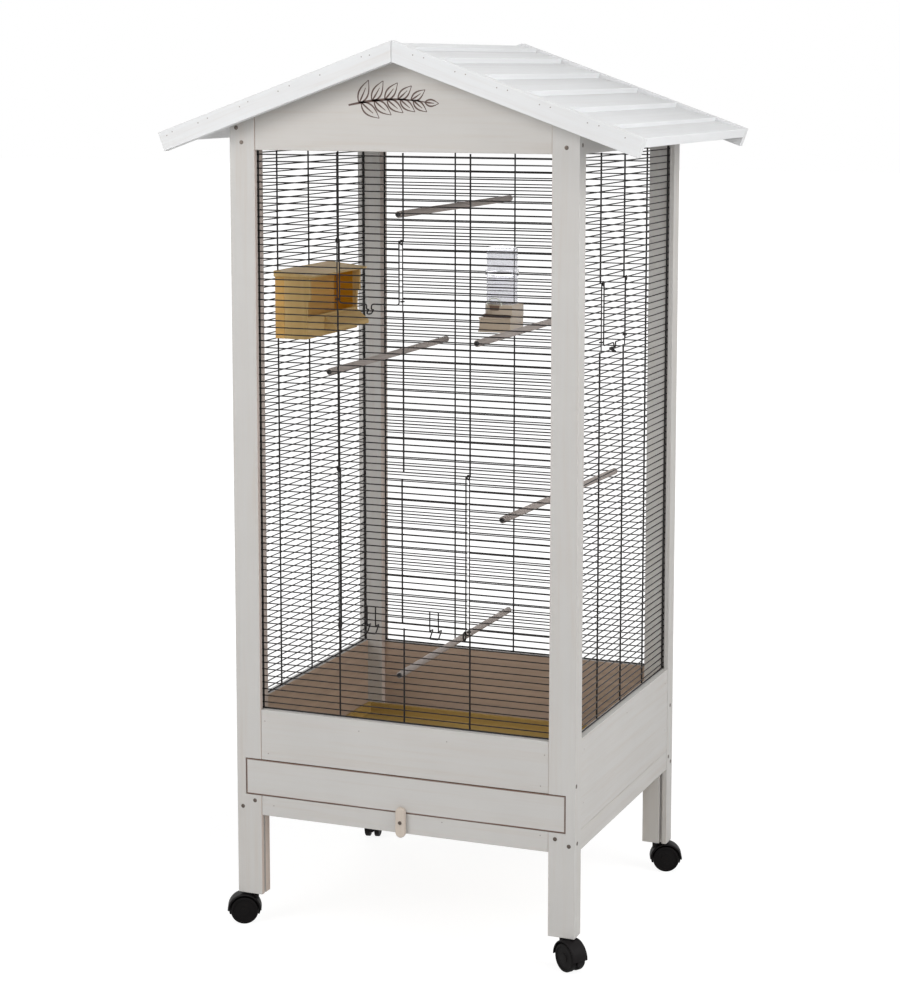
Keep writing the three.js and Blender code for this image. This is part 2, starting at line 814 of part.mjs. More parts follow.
function makeHopper() {
  const low = neckFloor + fitGap;
  const top = low + hopperHeight;
  const ringLow = low + hopperRingLift;
  const inner = hopperRadius - hopperWall;
  const profile = [
    [inner, low],
    [hopperRadius, low],
    [hopperRadius, ringLow],
    [hopperRingRadius, ringLow],
    [hopperRingRadius, ringLow + hopperRingHeight],
    [hopperRadius, ringLow + hopperRingHeight],
    [hopperRadius, top],
    [0, top],
    [0, top - hopperWall],
    [inner, top - hopperWall],
    [inner, low],
  ].map(([radius, height]) => new THREE.Vector2(radius, height));
  return new THREE.LatheGeometry(profile, wheelSides)
    .rotateX(Math.PI / 2)
    .translate(feederAcross, neckCentreY, 0);
}

addPiece('feeder_trough', makeTrough(), 'trough');
addPiece('feeder_hopper', makeHopper(), 'hopper');

// Casters: twin wheels on one axle under a hood, on a stem that turns in the post.
// Drawn with the stem on the Z axis and the wheels trailing along +X, then turned and placed.

// Part of a disc round the axle. It reaches below the axle by the angle reach on both sides.
function arched(radius, reach, width) {
  const shape = new THREE.Shape();
  shape.absarc(casterTrail, wheelRadius, radius, -reach, Math.PI + reach, false);
  return extruded(shape, width).rotateX(Math.PI / 2).translate(0, width / 2, 0);
}

function makeCasterHousing() {
  const tower = joined(
    arched(hoodRadius, 0, hoodWidth),
    arched(hoodRadius - hoodWall, webReach, webThickness),
    upright(socketRadius, 0, 0, [hoodTop - socketHeight, hoodTop], roundSides),
    upright(stemRadius, 0, 0, [hoodTop - socketHeight, casterHeight + stemLength], roundSides),
  );
  const wellDepth = (hoodWidth - webThickness) / 2 + cutOverrun;
  const wells = [-1, 1].map((side) => new THREE.CylinderGeometry(
    hoodRadius - hoodWall, hoodRadius - hoodWall, wellDepth, wheelSides,
  ).translate(casterTrail, side * (webThickness + wellDepth) / 2, wheelRadius));
  const bore = new THREE.CylinderGeometry(
    axleRadius + axleClearance, axleRadius + axleClearance, hoodWidth + cutOverrun, roundSides,
  ).translate(casterTrail, 0, wheelRadius);
  return cut(tower, ...wells, bore);
}

// The tread is a polygon that stands on one of its flats
function makeCasterWheels() {
  const tread = wheelRadius / Math.cos(Math.PI / wheelSides);
  const inner = wheelGap / 2;
  const outer = inner + wheelWidth;
  const profile = [
    [0, -outer],
    [tread, -outer],
    [tread, -inner],
    [axleRadius, -inner],
    [axleRadius, inner],
    [tread, inner],
    [tread, outer],
    [0, outer],
  ].map(([radius, along]) => new THREE.Vector2(radius, along));
  return new THREE.LatheGeometry(profile, wheelSides)
    .rotateY(Math.PI / wheelSides)
    .translate(casterTrail, 0, wheelRadius);
}

const casterTurns = [
  { name: 'front_left', sideX: -1, sideY: -1, turn: THREE.MathUtils.degToRad(205) },
  { name: 'front_right', sideX: 1, sideY: -1, turn: THREE.MathUtils.degToRad(-34) },
  { name: 'back_left', sideX: -1, sideY: 1, turn: THREE.MathUtils.degToRad(-76) },
  { name: 'back_right', sideX: 1, sideY: 1, turn: THREE.MathUtils.degToRad(20) },
];

for (const { name, sideX, sideY, turn } of casterTurns) {
  const caster = new THREE.Group();
  caster.position.set(sideX * postCentreX, sideY * postCentreY, 0);
  caster.rotation.z = turn;
  root.add(caster);
  addPiece(`caster_housing_${name}`, makeCasterHousing(), 'caster', caster);
  addPiece(`caster_wheels_${name}`, makeCasterWheels(), 'caster', caster);
}

export default root;
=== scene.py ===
"""Bird aviary on casters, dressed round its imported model.

Lengths are in metres in the model's own frame: X to the right, -Y to the front, Z up from the floor.
"""

import math

import bmesh
import bpy
from bpy.props import FloatProperty, FloatVectorProperty, PointerProperty
from mathutils import Matrix, Vector


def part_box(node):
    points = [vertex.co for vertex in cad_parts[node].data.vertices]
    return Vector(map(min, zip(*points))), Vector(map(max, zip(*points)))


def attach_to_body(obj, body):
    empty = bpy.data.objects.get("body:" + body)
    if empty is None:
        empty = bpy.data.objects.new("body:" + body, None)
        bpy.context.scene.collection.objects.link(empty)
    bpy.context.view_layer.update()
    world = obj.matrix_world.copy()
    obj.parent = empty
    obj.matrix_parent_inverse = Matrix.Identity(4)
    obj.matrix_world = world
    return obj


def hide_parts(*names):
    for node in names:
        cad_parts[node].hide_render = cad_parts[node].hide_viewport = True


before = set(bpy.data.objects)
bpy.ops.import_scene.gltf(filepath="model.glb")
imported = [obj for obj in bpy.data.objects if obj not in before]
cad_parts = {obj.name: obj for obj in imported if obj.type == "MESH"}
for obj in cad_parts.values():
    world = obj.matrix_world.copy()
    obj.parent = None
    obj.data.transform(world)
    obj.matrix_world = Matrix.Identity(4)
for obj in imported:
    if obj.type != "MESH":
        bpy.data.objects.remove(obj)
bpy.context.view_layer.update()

bl_info = {
    "name": "Bird aviary",
    "version": (1, 0, 0),
    "blender": (4, 5, 0),
    "location": "View3D > Sidebar > Aviary",
    "description": "Dresses the packed bird aviary with wood, wire, fittings, light and camera",
    "category": "Object",
}

MM = 0.001
CORNERS = ("front_left", "front_right", "back_left", "back_right")
ENDS = ("front", "back")
SIDES = ("left", "right")
QUARTER_TURN = math.pi / 2


def from_screen(*values):
    """The linear colour for red, green and blue from 0 to 255, by the sRGB curve."""
    shares = [value / 255 for value in values]
    return tuple(part / 12.92 if part <= 0.04045 else ((part + 0.055) / 1.055) ** 2.4 for part in shares)


def scaled(tone, *tone_shares):
    """A colour times one share, or times one share for each of its channels."""
    shares = tone_shares if len(tone_shares) == len(tone) else tone_shares * len(tone)
    return [channel * part for channel, part in zip(tone, shares)]


def colour(name, description, default):
    return FloatVectorProperty(
        name=name, description=description, default=default, size=3, subtype="COLOR", min=0, max=1
    )


def length(name, description, default):
    return FloatProperty(
        name=name, description=description, default=default, min=0, subtype="DISTANCE", unit="LENGTH"
    )


def share(name, description, default):
    return FloatProperty(name=name, description=description, default=default, min=0, max=1, subtype="FACTOR")


def watts(name, description, default):
    return FloatProperty(name=name, description=description, default=default, min=0, unit="POWER")


def strength(name, description, default):
    return FloatProperty(name=name, description=description, default=default, min=0)


class AviaryWood(bpy.types.PropertyGroup):
    whitewash: colour("Whitewash", "Paint on posts, rails and panels", from_screen(193, 191, 188))
    roof_whitewash: colour("Roof whitewash", "Paint on the roof and its edges", from_screen(219, 220, 221))
    gable_whitewash: colour("Gable whitewash", "Paint on the gable boards", from_screen(195, 192, 188))
    bare_wood: colour("Bare wood", "Wood that shows through the paint", from_screen(176, 150, 124))
    # Painted shade: the lower panels' inner faces take this darker, warmer tone, which stands in for their
    # shade and the warm bounce from the tray.
    inner_panel_shade: colour("Inner wood", "Inner faces of the lower panels", from_screen(182, 160, 143))
    inner_post: colour("Inner posts", "Inner faces of the posts", from_screen(206, 192, 183))
    # Dark edge tone round the drawer front: partly the scorched cut edges, partly painted shade of the gap
    # round the drawer.
    scorch_and_gap_shade: colour("Scorched edge", "Cut edges round the drawer front", from_screen(112, 88, 76))
    tray: colour("Tray board", "Board of the drawer tray", from_screen(182, 152, 90))
    button: colour("Turn button", "Wood of the turn button", from_screen(204, 192, 180))
    edge_radius: length("Edge radius", "Rounding of the boards' edges", 1.1 * MM)
    paint_cover: share("Paint cover", "How much of the grain the paint hides", 0.8)


class AviaryWire(bpy.types.PropertyGroup):
    row_diameter: length("Row wire", "Diameter of the level wires", 2.2 * MM)
    upright_diameter: length("Upright wire", "Diameter of the uprights", 3.2 * MM)
    door_diameter: length("Door wire", "Diameter of the doors' side wires and catches", 2.5 * MM)
    lacquer: colour("Lacquer", "Colour of the wire", from_screen(13, 8, 7))


class AviaryFittings(bpy.types.PropertyGroup):
    perch: colour("Perch wood", "Wood of the perches", from_screen(146, 131, 119))
    plug: colour("Perch plug", "Plugs in the perches' ends", from_screen(12, 9, 9))
    nest: colour("Nest wood", "Wood of the nest box", from_screen(211, 180, 123))
    # The nest's back board and inner end are lighter, more amber copies of the nest's pine: their own tone
    # with painted warm bounce light inside the box.
    nest_back: colour("Nest back", "Back board of the nest box", from_screen(226, 179, 105))
    nest_inside_bounce: colour("Nest inside", "Wood of the nest box's inner end", from_screen(209, 146, 29))
    trough: colour("Trough", "Plastic of the feeder's trough", from_screen(180, 163, 142))
    # Painted shade: the dark tone of the feeder's shaded mouth and of the recess under the arch.
    trough_painted_shade: colour("Trough inside", "Shaded plastic inside the feeder", from_screen(104, 80, 66))
    hopper: colour("Hopper", "Clear plastic of the feeder's hopper", from_screen(243, 243, 246))
    arch: colour("Arch", "Grip on the feeder's neck", from_screen(206, 208, 196))
    nail: colour("Nails", "Nail heads", from_screen(140, 134, 130))
    screw: colour("Screws", "Screw heads", from_screen(92, 84, 78))
    ink: colour("Ink", "Lines of the leaf sprig", from_screen(88, 70, 64))
    nail_diameter: length("Nail head", "Diameter of the nail heads", 2.2 * MM)
    screw_diameter: length("Screw head", "Diameter of the screw heads", 7.6 * MM)


class AviaryCasters(bpy.types.PropertyGroup):
    hood: colour("Hood", "Plastic of the caster hoods", from_screen(10, 7, 8))
    wheel: colour("Wheel", "Rubber of the wheels", from_screen(8, 6, 6))
    stem: colour("Stem", "Steel of the stems", from_screen(168, 168, 170))
    hub_radius: length("Hub", "Radius of the hub cap", 8.5 * MM)
    tread_round: length("Tread rounding", "Rounding of the wheels' treads", 2.6 * MM)


class AviaryStage(bpy.types.PropertyGroup):
    floor: colour("Floor", "Floor and backdrop", from_screen(255, 255, 255))
    floor_size: length("Floor size", "Side of the square floor", 60.0)
    camera_place: FloatVectorProperty(
        name="Camera place", description="Where the camera stands", default=(1.578, -3.9715, 1.5362),
        size=3, subtype="TRANSLATION", unit="LENGTH",
    )
    camera_turn: FloatProperty(
        name="Camera turn", description="Turn to the left of the front's direction",
        default=math.radians(21.966), subtype="ANGLE", unit="ROTATION",
    )
    camera_tilt: FloatProperty(
        name="Camera tilt", description="Tilt below the horizon",
        default=math.radians(7.663), subtype="ANGLE", unit="ROTATION",
    )
    focal_length: FloatProperty(
        name="Focal length", description="Focal length on a 36 mm sensor", default=85.47,
        subtype="DISTANCE_CAMERA", unit="CAMERA",
    )
    camera_shift: FloatProperty(
        name="Camera shift", description="Upward shift of the picture in picture sides", default=-0.115
    )
    key_power: watts("Key lamps", "The three lamps in front, together", 86)
    side_power: watts("Side lamps", "The two lamps at the right, together", 82)
    back_power: watts("Back lamp", "The lamp behind", 34)
    sky_strength: strength("Sky", "Even light from all round", 0.17)


# Meshes and curves


WELD_DISTANCE = 0.01 * MM
BEVEL_FROM = math.radians(35)
BEVEL_SEGMENTS = 2


def arc(radius, start, sweep, steps, centre=(0, 0)):
    """Points along a stretch of a circle, both ends with it."""
    turns = (start + sweep * step / steps for step in range(steps + 1))
    return [(centre[0] + radius * math.cos(turn), centre[1] + radius * math.sin(turn)) for turn in turns]


class Shape:
    """Corners and faces gathered for one mesh."""

    def __init__(self):
        self.corners = []
        self.faces = []

    def add(self, corners, faces, place=None):
        first = len(self.corners)
        for corner in corners:
            self.corners.append(place @ Vector(corner) if place else Vector(corner))
        self.faces.extend([first + corner for corner in face] for face in faces)
        return self

    def board(self, low, high, place=None):
        """A board between two corners."""
        (x0, y0, z0), (x1, y1, z1) = low, high
        return self.prism([(x0, y0), (x1, y0), (x1, y1), (x0, y1)], z0, z1, place)

    def prism(self, outline, low, high, place=None):
        """An outline in X and Y, drawn up from low to high."""
        count = len(outline)
        corners = [(x, y, low) for x, y in outline] + [(x, y, high) for x, y in outline]
        faces = [list(range(count))[::-1], list(range(count, 2 * count))]
        faces += [[i, (i + 1) % count, count + (i + 1) % count, count + i] for i in range(count)]
        return self.add(corners, faces, place)

    def lathe(self, profile, sides, place=None):
        """A profile of (radius, height) turned about Z. A radius of 0 closes an end."""
        corners, rings = [], []
        for radius, height in profile:
            if radius == 0:
                rings.append([len(corners)])
                corners.append((0, 0, height))
                continue
            rings.append(list(range(len(corners), len(corners) + sides)))
            for side in range(sides):
                angle = 2 * math.pi * side / sides
                corners.append((radius * math.cos(angle), radius * math.sin(angle), height))
        faces = []
        for lower, upper in zip(rings, rings[1:]):
            for side in range(sides):
                near, far = side, (side + 1) % sides
                if len(lower) == 1 and len(upper) == 1:
                    continue
                if len(lower) == 1:
                    faces.append([lower[0], upper[far], upper[near]])
                elif len(upper) == 1:
                    faces.append([lower[near], lower[far], upper[0]])
                else:
                    faces.append([lower[near], lower[far], upper[far], upper[near]])
        return self.add(corners, faces, place)

    def grid(self, rows, closed=False, place=None):
        """Faces between rows of points. closed joins the last row to the first."""
        count = len(rows[0])
        corners = [point for row in rows for point in row]
        faces = []
        for row in range(len(rows) if closed else len(rows) - 1):
            following = (row + 1) % len(rows)
            for column in range(count - 1):
                faces.append([
                    row * count + column, row * count + column + 1,
                    following * count + column + 1, following * count + column,
                ])
        return self.add(corners, faces, place)


def new_object(name, data):
    made = bpy.data.objects.new(name, data)
    bpy.context.scene.collection.objects.link(made)
    return made


def make_piece(name, shape, material, body, stands_for=(), bevel=0, sharp_angle=None):
    """A mesh object that rides on a body. With sharp_angle, faces that meet below it shade smoothly."""
    mesh = bpy.data.meshes.new(name)
    mesh.from_pydata(shape.corners, [], shape.faces)
    shaped = bmesh.new()
    shaped.from_mesh(mesh)
    bmesh.ops.remove_doubles(shaped, verts=shaped.verts, dist=WELD_DISTANCE)
    bmesh.ops.recalc_face_normals(shaped, faces=shaped.faces)
    if sharp_angle is not None:
        for face in shaped.faces:
            face.smooth = True
        for edge in shaped.edges:
            edge.smooth = len(edge.link_faces) == 2 and edge.calc_face_angle() < sharp_angle
    shaped.to_mesh(mesh)
    shaped.free()
    mesh.materials.append(material)
    piece = new_object(name, mesh)
    if bevel:
        add_bevel(piece, bevel)
    return attach(piece, body, stands_for)


def attach(piece, body, stands_for=()):
    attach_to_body(piece, body)
    if stands_for:
        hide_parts(*stands_for)
    return piece


def add_bevel(piece, width):
    bevel = piece.modifiers.new("Rounded edges", "BEVEL")
    bevel.width = width
    bevel.segments = BEVEL_SEGMENTS
    bevel.limit_method = "ANGLE"
    bevel.angle_limit = BEVEL_FROM
    bevel.harden_normals = True


def make_wires(name, strands, material, body, stands_for=(), place=None):
    """One curve object. Each strand is (points, radius), or (points, radius, True) for a closed one."""
    curve = bpy.data.curves.new(name, "CURVE")
    curve.dimensions = "3D"
    curve.bevel_depth = MM
    curve.bevel_resolution = 2
    curve.use_fill_caps = True
    for points, radius, *closed in strands:
        spline = curve.splines.new("POLY")
        spline.points.add(len(points) - 1)
        spline.use_cyclic_u = bool(closed)
        spline.use_smooth = True
        for point, corner in zip(spline.points, points):
            corner = place @ Vector(corner) if place else Vector(corner)
            point.co = (*corner, 1)
            point.radius = radius / MM
    curve.materials.append(material)
    return attach(new_object(name, curve), body, stands_for)


def rounded(points, radius, steps=4):
    """The path through the points with its corners rounded."""
    half_share = 1 / 2.05
    path = [Vector(points[0])]
    for before, corner, after in zip(points, points[1:], points[2:]):
        corner = Vector(corner)
        back, on = Vector(before) - corner, Vector(after) - corner
        reach = min(radius, back.length * half_share, on.length * half_share)
        start, end = corner + back.normalized() * reach, corner + on.normalized() * reach
        for step in range(steps + 1):
            part = step / steps
            path.append(start.lerp(corner, part).lerp(corner.lerp(end, part), part))
    path.append(Vector(points[-1]))
    return path


def oval(centre, first, second, steps=20):
    """Points round an oval with the two half-axes."""
    centre, first, second = Vector(centre), Vector(first), Vector(second)
    return [centre + first * x + second * y for x, y in arc(1, 0, 2 * math.pi, steps)[:-1]]


# Node groups that more than one material uses


def new_group(name, inputs, outputs):
    group = bpy.data.node_groups.new(name, "ShaderNodeTree")
    for kind, label, default in inputs:
        socket = group.interface.new_socket(label, in_out="INPUT", socket_type=kind)
        if default is not None:
            socket.default_value = default
    for kind, label in outputs:
        group.interface.new_socket(label, in_out="OUTPUT", socket_type=kind)
    return group, group.nodes.new("NodeGroupInput"), group.nodes.new("NodeGroupOutput")


def noise(tree, vector, scale, detail, roughness=0.5, distortion=0.0):
    node = tree.nodes.new("ShaderNodeTexNoise")
    node.inputs["Detail"].default_value = detail
    node.inputs["Roughness"].default_value = roughness
    node.inputs["Distortion"].default_value = distortion
    set_input(tree, node.inputs["Scale"], scale)
    tree.links.new(vector, node.inputs["Vector"])
    return node.outputs["Fac"]


def set_input(tree, socket, value):
    """Links a socket, or sets its value."""
    if isinstance(value, bpy.types.NodeSocket):
        tree.links.new(value, socket)
    else:
        socket.default_value = value


def calculate(tree, operation, first, second=0.0):
    node = tree.nodes.new("ShaderNodeMath")
    node.operation = operation
    set_input(tree, node.inputs[0], first)
    set_input(tree, node.inputs[1], second)
    return node.outputs[0]


def spread(tree, value, low, high, new_low=0.0, new_high=1.0):
    """Maps low to high onto new_low to new_high, held within them."""
    node = tree.nodes.new("ShaderNodeMapRange")
    for label, number in (("From Min", low), ("From Max", high), ("To Min", new_low), ("To Max", new_high)):
        node.inputs[label].default_value = number
    tree.links.new(value, node.inputs["Value"])
    return node.outputs["Result"]


def mix_colours(tree, amount, first, second):
    node = tree.nodes.new("ShaderNodeMix")
    node.data_type = "RGBA"
    set_input(tree, node.inputs[0], amount)
    for socket, value in ((node.inputs[6], first), (node.inputs[7], second)):
        set_input(tree, socket, value if isinstance(value, bpy.types.NodeSocket) else (*value, 1))
    return node.outputs[2]


def build_grain_group():
    """Streaks along the first axis of Vector, soft patches, and both as a height."""
    broad_scale_share, fine_share, broad_share = 0.22, 0.45, 0.55
    group, given, made = new_group(
        "Wood grain",
        [
            ("NodeSocketVector", "Vector", None),
            ("NodeSocketFloat", "Streak Scale", 240.0),
            ("NodeSocketFloat", "Stretch", 0.035),
            ("NodeSocketFloat", "Patch Scale", 7.0),
        ],
        [("NodeSocketFloat", "Streaks"), ("NodeSocketFloat", "Patches"), ("NodeSocketFloat", "Height")],
    )
    drawn = group.nodes.new("ShaderNodeCombineXYZ")
    set_input(group, drawn.inputs["X"], given.outputs["Stretch"])
    drawn.inputs["Y"].default_value = drawn.inputs["Z"].default_value = 1
    along = group.nodes.new("ShaderNodeVectorMath")
    along.operation = "MULTIPLY"
    group.links.new(given.outputs["Vector"], along.inputs[0])
    group.links.new(drawn.outputs["Vector"], along.inputs[1])
    stretched, scale = along.outputs["Vector"], given.outputs["Streak Scale"]
    fine = noise(group, stretched, scale, detail=5, roughness=0.6, distortion=0.4)
    broad_scale = calculate(group, "MULTIPLY", scale, broad_scale_share)
    broad = noise(group, stretched, broad_scale, detail=3, distortion=1.1)
    streaks = calculate(
        group, "ADD",
        calculate(group, "MULTIPLY", spread(group, fine, 0.38, 0.68), fine_share),
        calculate(group, "MULTIPLY", spread(group, broad, 0.36, 0.66), broad_share),
    )
    patches = noise(group, given.outputs["Vector"], given.outputs["Patch Scale"], detail=3, roughness=0.55)
    group.links.new(streaks, made.inputs["Streaks"])
    group.links.new(spread(group, patches, 0.34, 0.66), made.inputs["Patches"])
    height = calculate(group, "SUBTRACT", 1.0, streaks)
    group.links.new(height, made.inputs["Height"])
    return group


def build_surface_group():
    """Fine speckle and slow mottling for plastic, rubber and metal."""
    group, given, made = new_group(
        "Fine surface",
        [
            ("NodeSocketVector", "Vector", None),
            ("NodeSocketFloat", "Speckle Scale", 1400.0),
            ("NodeSocketFloat", "Mottle Scale", 45.0),
        ],
        [("NodeSocketFloat", "Speckle"), ("NodeSocketFloat", "Mottle")],
    )
    vector = given.outputs["Vector"]
    speckle = noise(group, vector, given.outputs["Speckle Scale"], detail=2)
    group.links.new(speckle, made.inputs["Speckle"])
    mottle = noise(group, vector, given.outputs["Mottle Scale"], detail=4, roughness=0.6)
    group.links.new(spread(group, mottle, 0.3, 0.7), made.inputs["Mottle"])
    return group


def node_group(name):
    """A shared group, built the first time that it is asked for."""
    builders = {"Wood grain": build_grain_group, "Fine surface": build_surface_group}
    return bpy.data.node_groups.get(name) or builders[name]()


def new_material(name, roughness, metallic=0.0, coat=0.0):
    material = bpy.data.materials.new(name)
    material.use_nodes = True
    tree = material.node_tree
    shader = next(node for node in tree.nodes if node.type == "BSDF_PRINCIPLED")
    shader.inputs["Roughness"].default_value = roughness
    shader.inputs["Metallic"].default_value = metallic
    shader.inputs["Coat Weight"].default_value = coat
    return material, tree, shader


def object_place(tree):
    return tree.nodes.new("ShaderNodeTexCoord").outputs["Object"]


def place_group(tree, name, vector, **values):
    node = tree.nodes.new("ShaderNodeGroup")
    node.node_tree = node_group(name)
    tree.links.new(vector, node.inputs["Vector"])
    for label, value in values.items():
        node.inputs[label.replace("_", " ").title()].default_value = value
    return node


def add_bump(tree, shader, height, strength, distance):
    bump = tree.nodes.new("ShaderNodeBump")
    bump.inputs["Strength"].default_value = strength
    bump.inputs["Distance"].default_value = distance
    tree.links.new(height, bump.inputs["Height"])
    tree.links.new(bump.outputs["Normal"], shader.inputs["Normal"])


GRAIN_TURNS = {"X": (0, 0, 0), "Y": (0, 0, -QUARTER_TURN), "Z": (0, QUARTER_TURN, 0)}


def along_grain(tree, axis, tilt=0.0, offset=(0, 0, 0)):
    """Object coordinates turned so that the grain runs along their first axis."""
    turned = tree.nodes.new("ShaderNodeMapping")
    turned.inputs["Rotation"].default_value = (0, tilt, 0) if tilt else GRAIN_TURNS[axis]
    turned.inputs["Location"].default_value = offset
    tree.links.new(object_place(tree), turned.inputs["Vector"])
    return turned.outputs["Vector"]


def lies_within(tree, across, reach):
    """1 where the distance from the middle along one axis is less than reach."""
    out = calculate(tree, "ABSOLUTE", separate_place(tree)[across])
    return calculate(tree, "LESS_THAN", out, reach)


def lies_outside(tree, low, high):
    """1 where X or Z is beyond the two corners."""
    parts, outside = separate_place(tree), 0.0
    for across, lowest, highest in (("X", low.x, high.x), ("Z", low.z, high.z)):
        for beyond, limit in (("LESS_THAN", lowest), ("GREATER_THAN", highest)):
            outside = calculate(tree, "MAXIMUM", outside, calculate(tree, beyond, parts[across], limit))
    return outside


def faces_towards(tree, direction):
    """1 on faces that look along the direction."""
    least_share = 0.7
    agreement = tree.nodes.new("ShaderNodeVectorMath")
    agreement.operation = "DOT_PRODUCT"
    agreement.inputs[1].default_value = direction
    geometry = tree.nodes.new("ShaderNodeNewGeometry")
    tree.links.new(geometry.outputs["True Normal"], agreement.inputs[0])
    return calculate(tree, "GREATER_THAN", agreement.outputs["Value"], least_share)


def separate_place(tree):
    parts = tree.nodes.new("ShaderNodeSeparateXYZ")
    tree.links.new(object_place(tree), parts.inputs["Vector"])
    return parts.outputs


def make_whitewash(
    name, paint, axis="Z", tilt=0.0, offset=(0, 0, 0), inner=None, inner_tone=None, rim=None, bare_share=1.0,
    step=None,
):
    """Thin white paint over pine. Grain shows through as grey and tan streaks.

    inner is an axis and a distance from the middle: what lies nearer has the inner tone.
    rim is (low, high) in X and Z: what lies outside it takes the dark edge tone, partly scorch and partly
    painted shade of the gap.
    bare_share lowers the grain that shows. Faces that look towards step are lightened: painted light that
    lifts their shade.
    """
    wood = bpy.context.scene.aviary_wood
    roughness, smoothest, roughest = 0.62, 0.55, 0.72
    shade_share, patch_share, streak_share, streak_power = 0.22, 0.7, 0.85, 2.2
    inner_grain_share, least_scorch_and_shade_share, riser_light_share = 0.8, 0.45, 1.06
    material, tree, shader = new_material(name, roughness)
    grain = place_group(tree, "Wood grain", along_grain(tree, axis, tilt, offset)).outputs
    bare = (1 - wood.paint_cover) * bare_share
    shade = scaled(paint, 1 - shade_share * bare)
    painted = mix_colours(tree, spread(tree, grain["Patches"], 0, 1, 0, patch_share), paint, shade)
    streak = calculate(tree, "POWER", grain["Streaks"], streak_power)
    streaked = calculate(tree, "MULTIPLY", streak, streak_share * bare)
    result = mix_colours(tree, streaked, painted, wood.bare_wood)
    # Inner faces take the inner tone: on the lower panels it is painted shade with warm bounce from the
    # tray; on the posts it is a warmer tone.
    if inner:
        inner_toned = mix_colours(tree, grain["Streaks"], inner_tone, scaled(inner_tone, inner_grain_share))
        result = mix_colours(tree, lies_within(tree, *inner), result, inner_toned)
    # Dark rim: scorched cut edges with painted shade of the gap.
    if rim:
        uneven = spread(tree, grain["Patches"], 0, 1, least_scorch_and_shade_share, 1)
        scorch_and_shade_band = calculate(tree, "MULTIPLY", lies_outside(tree, *rim), uneven)
        result = mix_colours(tree, scorch_and_shade_band, result, wood.scorch_and_gap_shade)
    # Painted light: faces that look towards step, the roof boards' risers, are lightened to lift their
    # shade.
    if step:
        lighter = [min(1, part) for part in scaled(paint, riser_light_share)]
        result = mix_colours(tree, faces_towards(tree, step), result, lighter)
    tree.links.new(result, shader.inputs["Base Color"])
    tree.links.new(spread(tree, grain["Streaks"], 0, 1, smoothest, roughest), shader.inputs["Roughness"])
    add_bump(tree, shader, grain["Height"], strength=0.22, distance=0.35 * MM)
    return material


def make_timber(name, light, dark, axis="X", contrast=0.8, roughness=0.6, streak_scale=200.0):
    """Unpainted wood with its grain along an axis."""
    patch_share, patch_tone_share = 0.35, 0.78
    material, tree, shader = new_material(name, roughness)
    shader.inputs["Specular IOR Level"].default_value = 0.2
    grain = place_group(tree, "Wood grain", along_grain(tree, axis), streak_scale=streak_scale).outputs
    streaked = mix_colours(tree, calculate(tree, "MULTIPLY", grain["Streaks"], contrast), light, dark)
    patches = spread(tree, grain["Patches"], 0, 1, 0, patch_share)
    patchy = mix_colours(tree, patches, streaked, scaled(light, patch_tone_share))
    tree.links.new(patchy, shader.inputs["Base Color"])
    add_bump(tree, shader, grain["Height"], strength=0.3, distance=0.3 * MM)
    return material


def make_plastic(name, tone, roughness, metallic=0.0, coat=0.0, shine=0.5):
    """Moulded plastic, rubber, lacquer or plated steel with faint mottling."""
    lighter_share, lift, mottle_share = 1.25, 0.004, 0.6
    smoothest, uneven = 0.05, 0.08
    material, tree, shader = new_material(name, roughness, metallic, coat)
    shader.inputs["Specular IOR Level"].default_value = shine
    surface = place_group(tree, "Fine surface", object_place(tree)).outputs
    lighter = [min(1, part + lift) for part in scaled(tone, lighter_share)]
    mottled = mix_colours(tree, spread(tree, surface["Mottle"], 0, 1, 0, mottle_share), tone, lighter)
    tree.links.new(mottled, shader.inputs["Base Color"])
    rough = spread(tree, surface["Mottle"], 0, 1, max(smoothest, roughness - uneven), roughness + uneven)
    tree.links.new(rough, shader.inputs["Roughness"])
    add_bump(tree, shader, surface["Speckle"], strength=0.15, distance=0.08 * MM)
    return material


def make_clear_plastic(name, tone):
    """Clear plastic, a little cloudy."""
    cloud_share, cloud_tone_share = 0.5, 0.9
    material, tree, shader = new_material(name, roughness=0.03)
    shader.inputs["Transmission Weight"].default_value = 0.88
    shader.inputs["IOR"].default_value = 1.12
    surface = place_group(tree, "Fine surface", object_place(tree), mottle_scale=25.0).outputs
    clouds = spread(tree, surface["Mottle"], 0, 1, 0, cloud_share)
    cloudy = mix_colours(tree, clouds, tone, scaled(tone, cloud_tone_share))
    tree.links.new(cloudy, shader.inputs["Base Color"])
    return material


def shared(name, make, *values, **named):
    """A material, made the first time that it is asked for."""
    return bpy.data.materials.get(name) or make(name, *values, **named)


def wire_material():
    wire = bpy.context.scene.aviary_wire
    return shared("wire_lacquer", make_plastic, wire.lacquer, roughness=0.5, shine=0.25)


# Woodwork: the frame's boards keep their shape from the model


ROOF_PITCH = math.radians(19.6)
ROOF_BOARDS = 7


def dress(node, material, edge_radius):
    """Gives a kept node its material and rounded edges."""
    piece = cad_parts[node]
    piece.data.materials.clear()
    piece.data.materials.append(material)
    weld = piece.modifiers.new("Welded corners", "WELD")
    weld.merge_threshold = WELD_DISTANCE
    flat = piece.modifiers.new("Whole flat faces", "DECIMATE")
    flat.decimate_type = "DISSOLVE"
    flat.angle_limit = math.radians(1)
    add_bevel(piece, edge_radius)


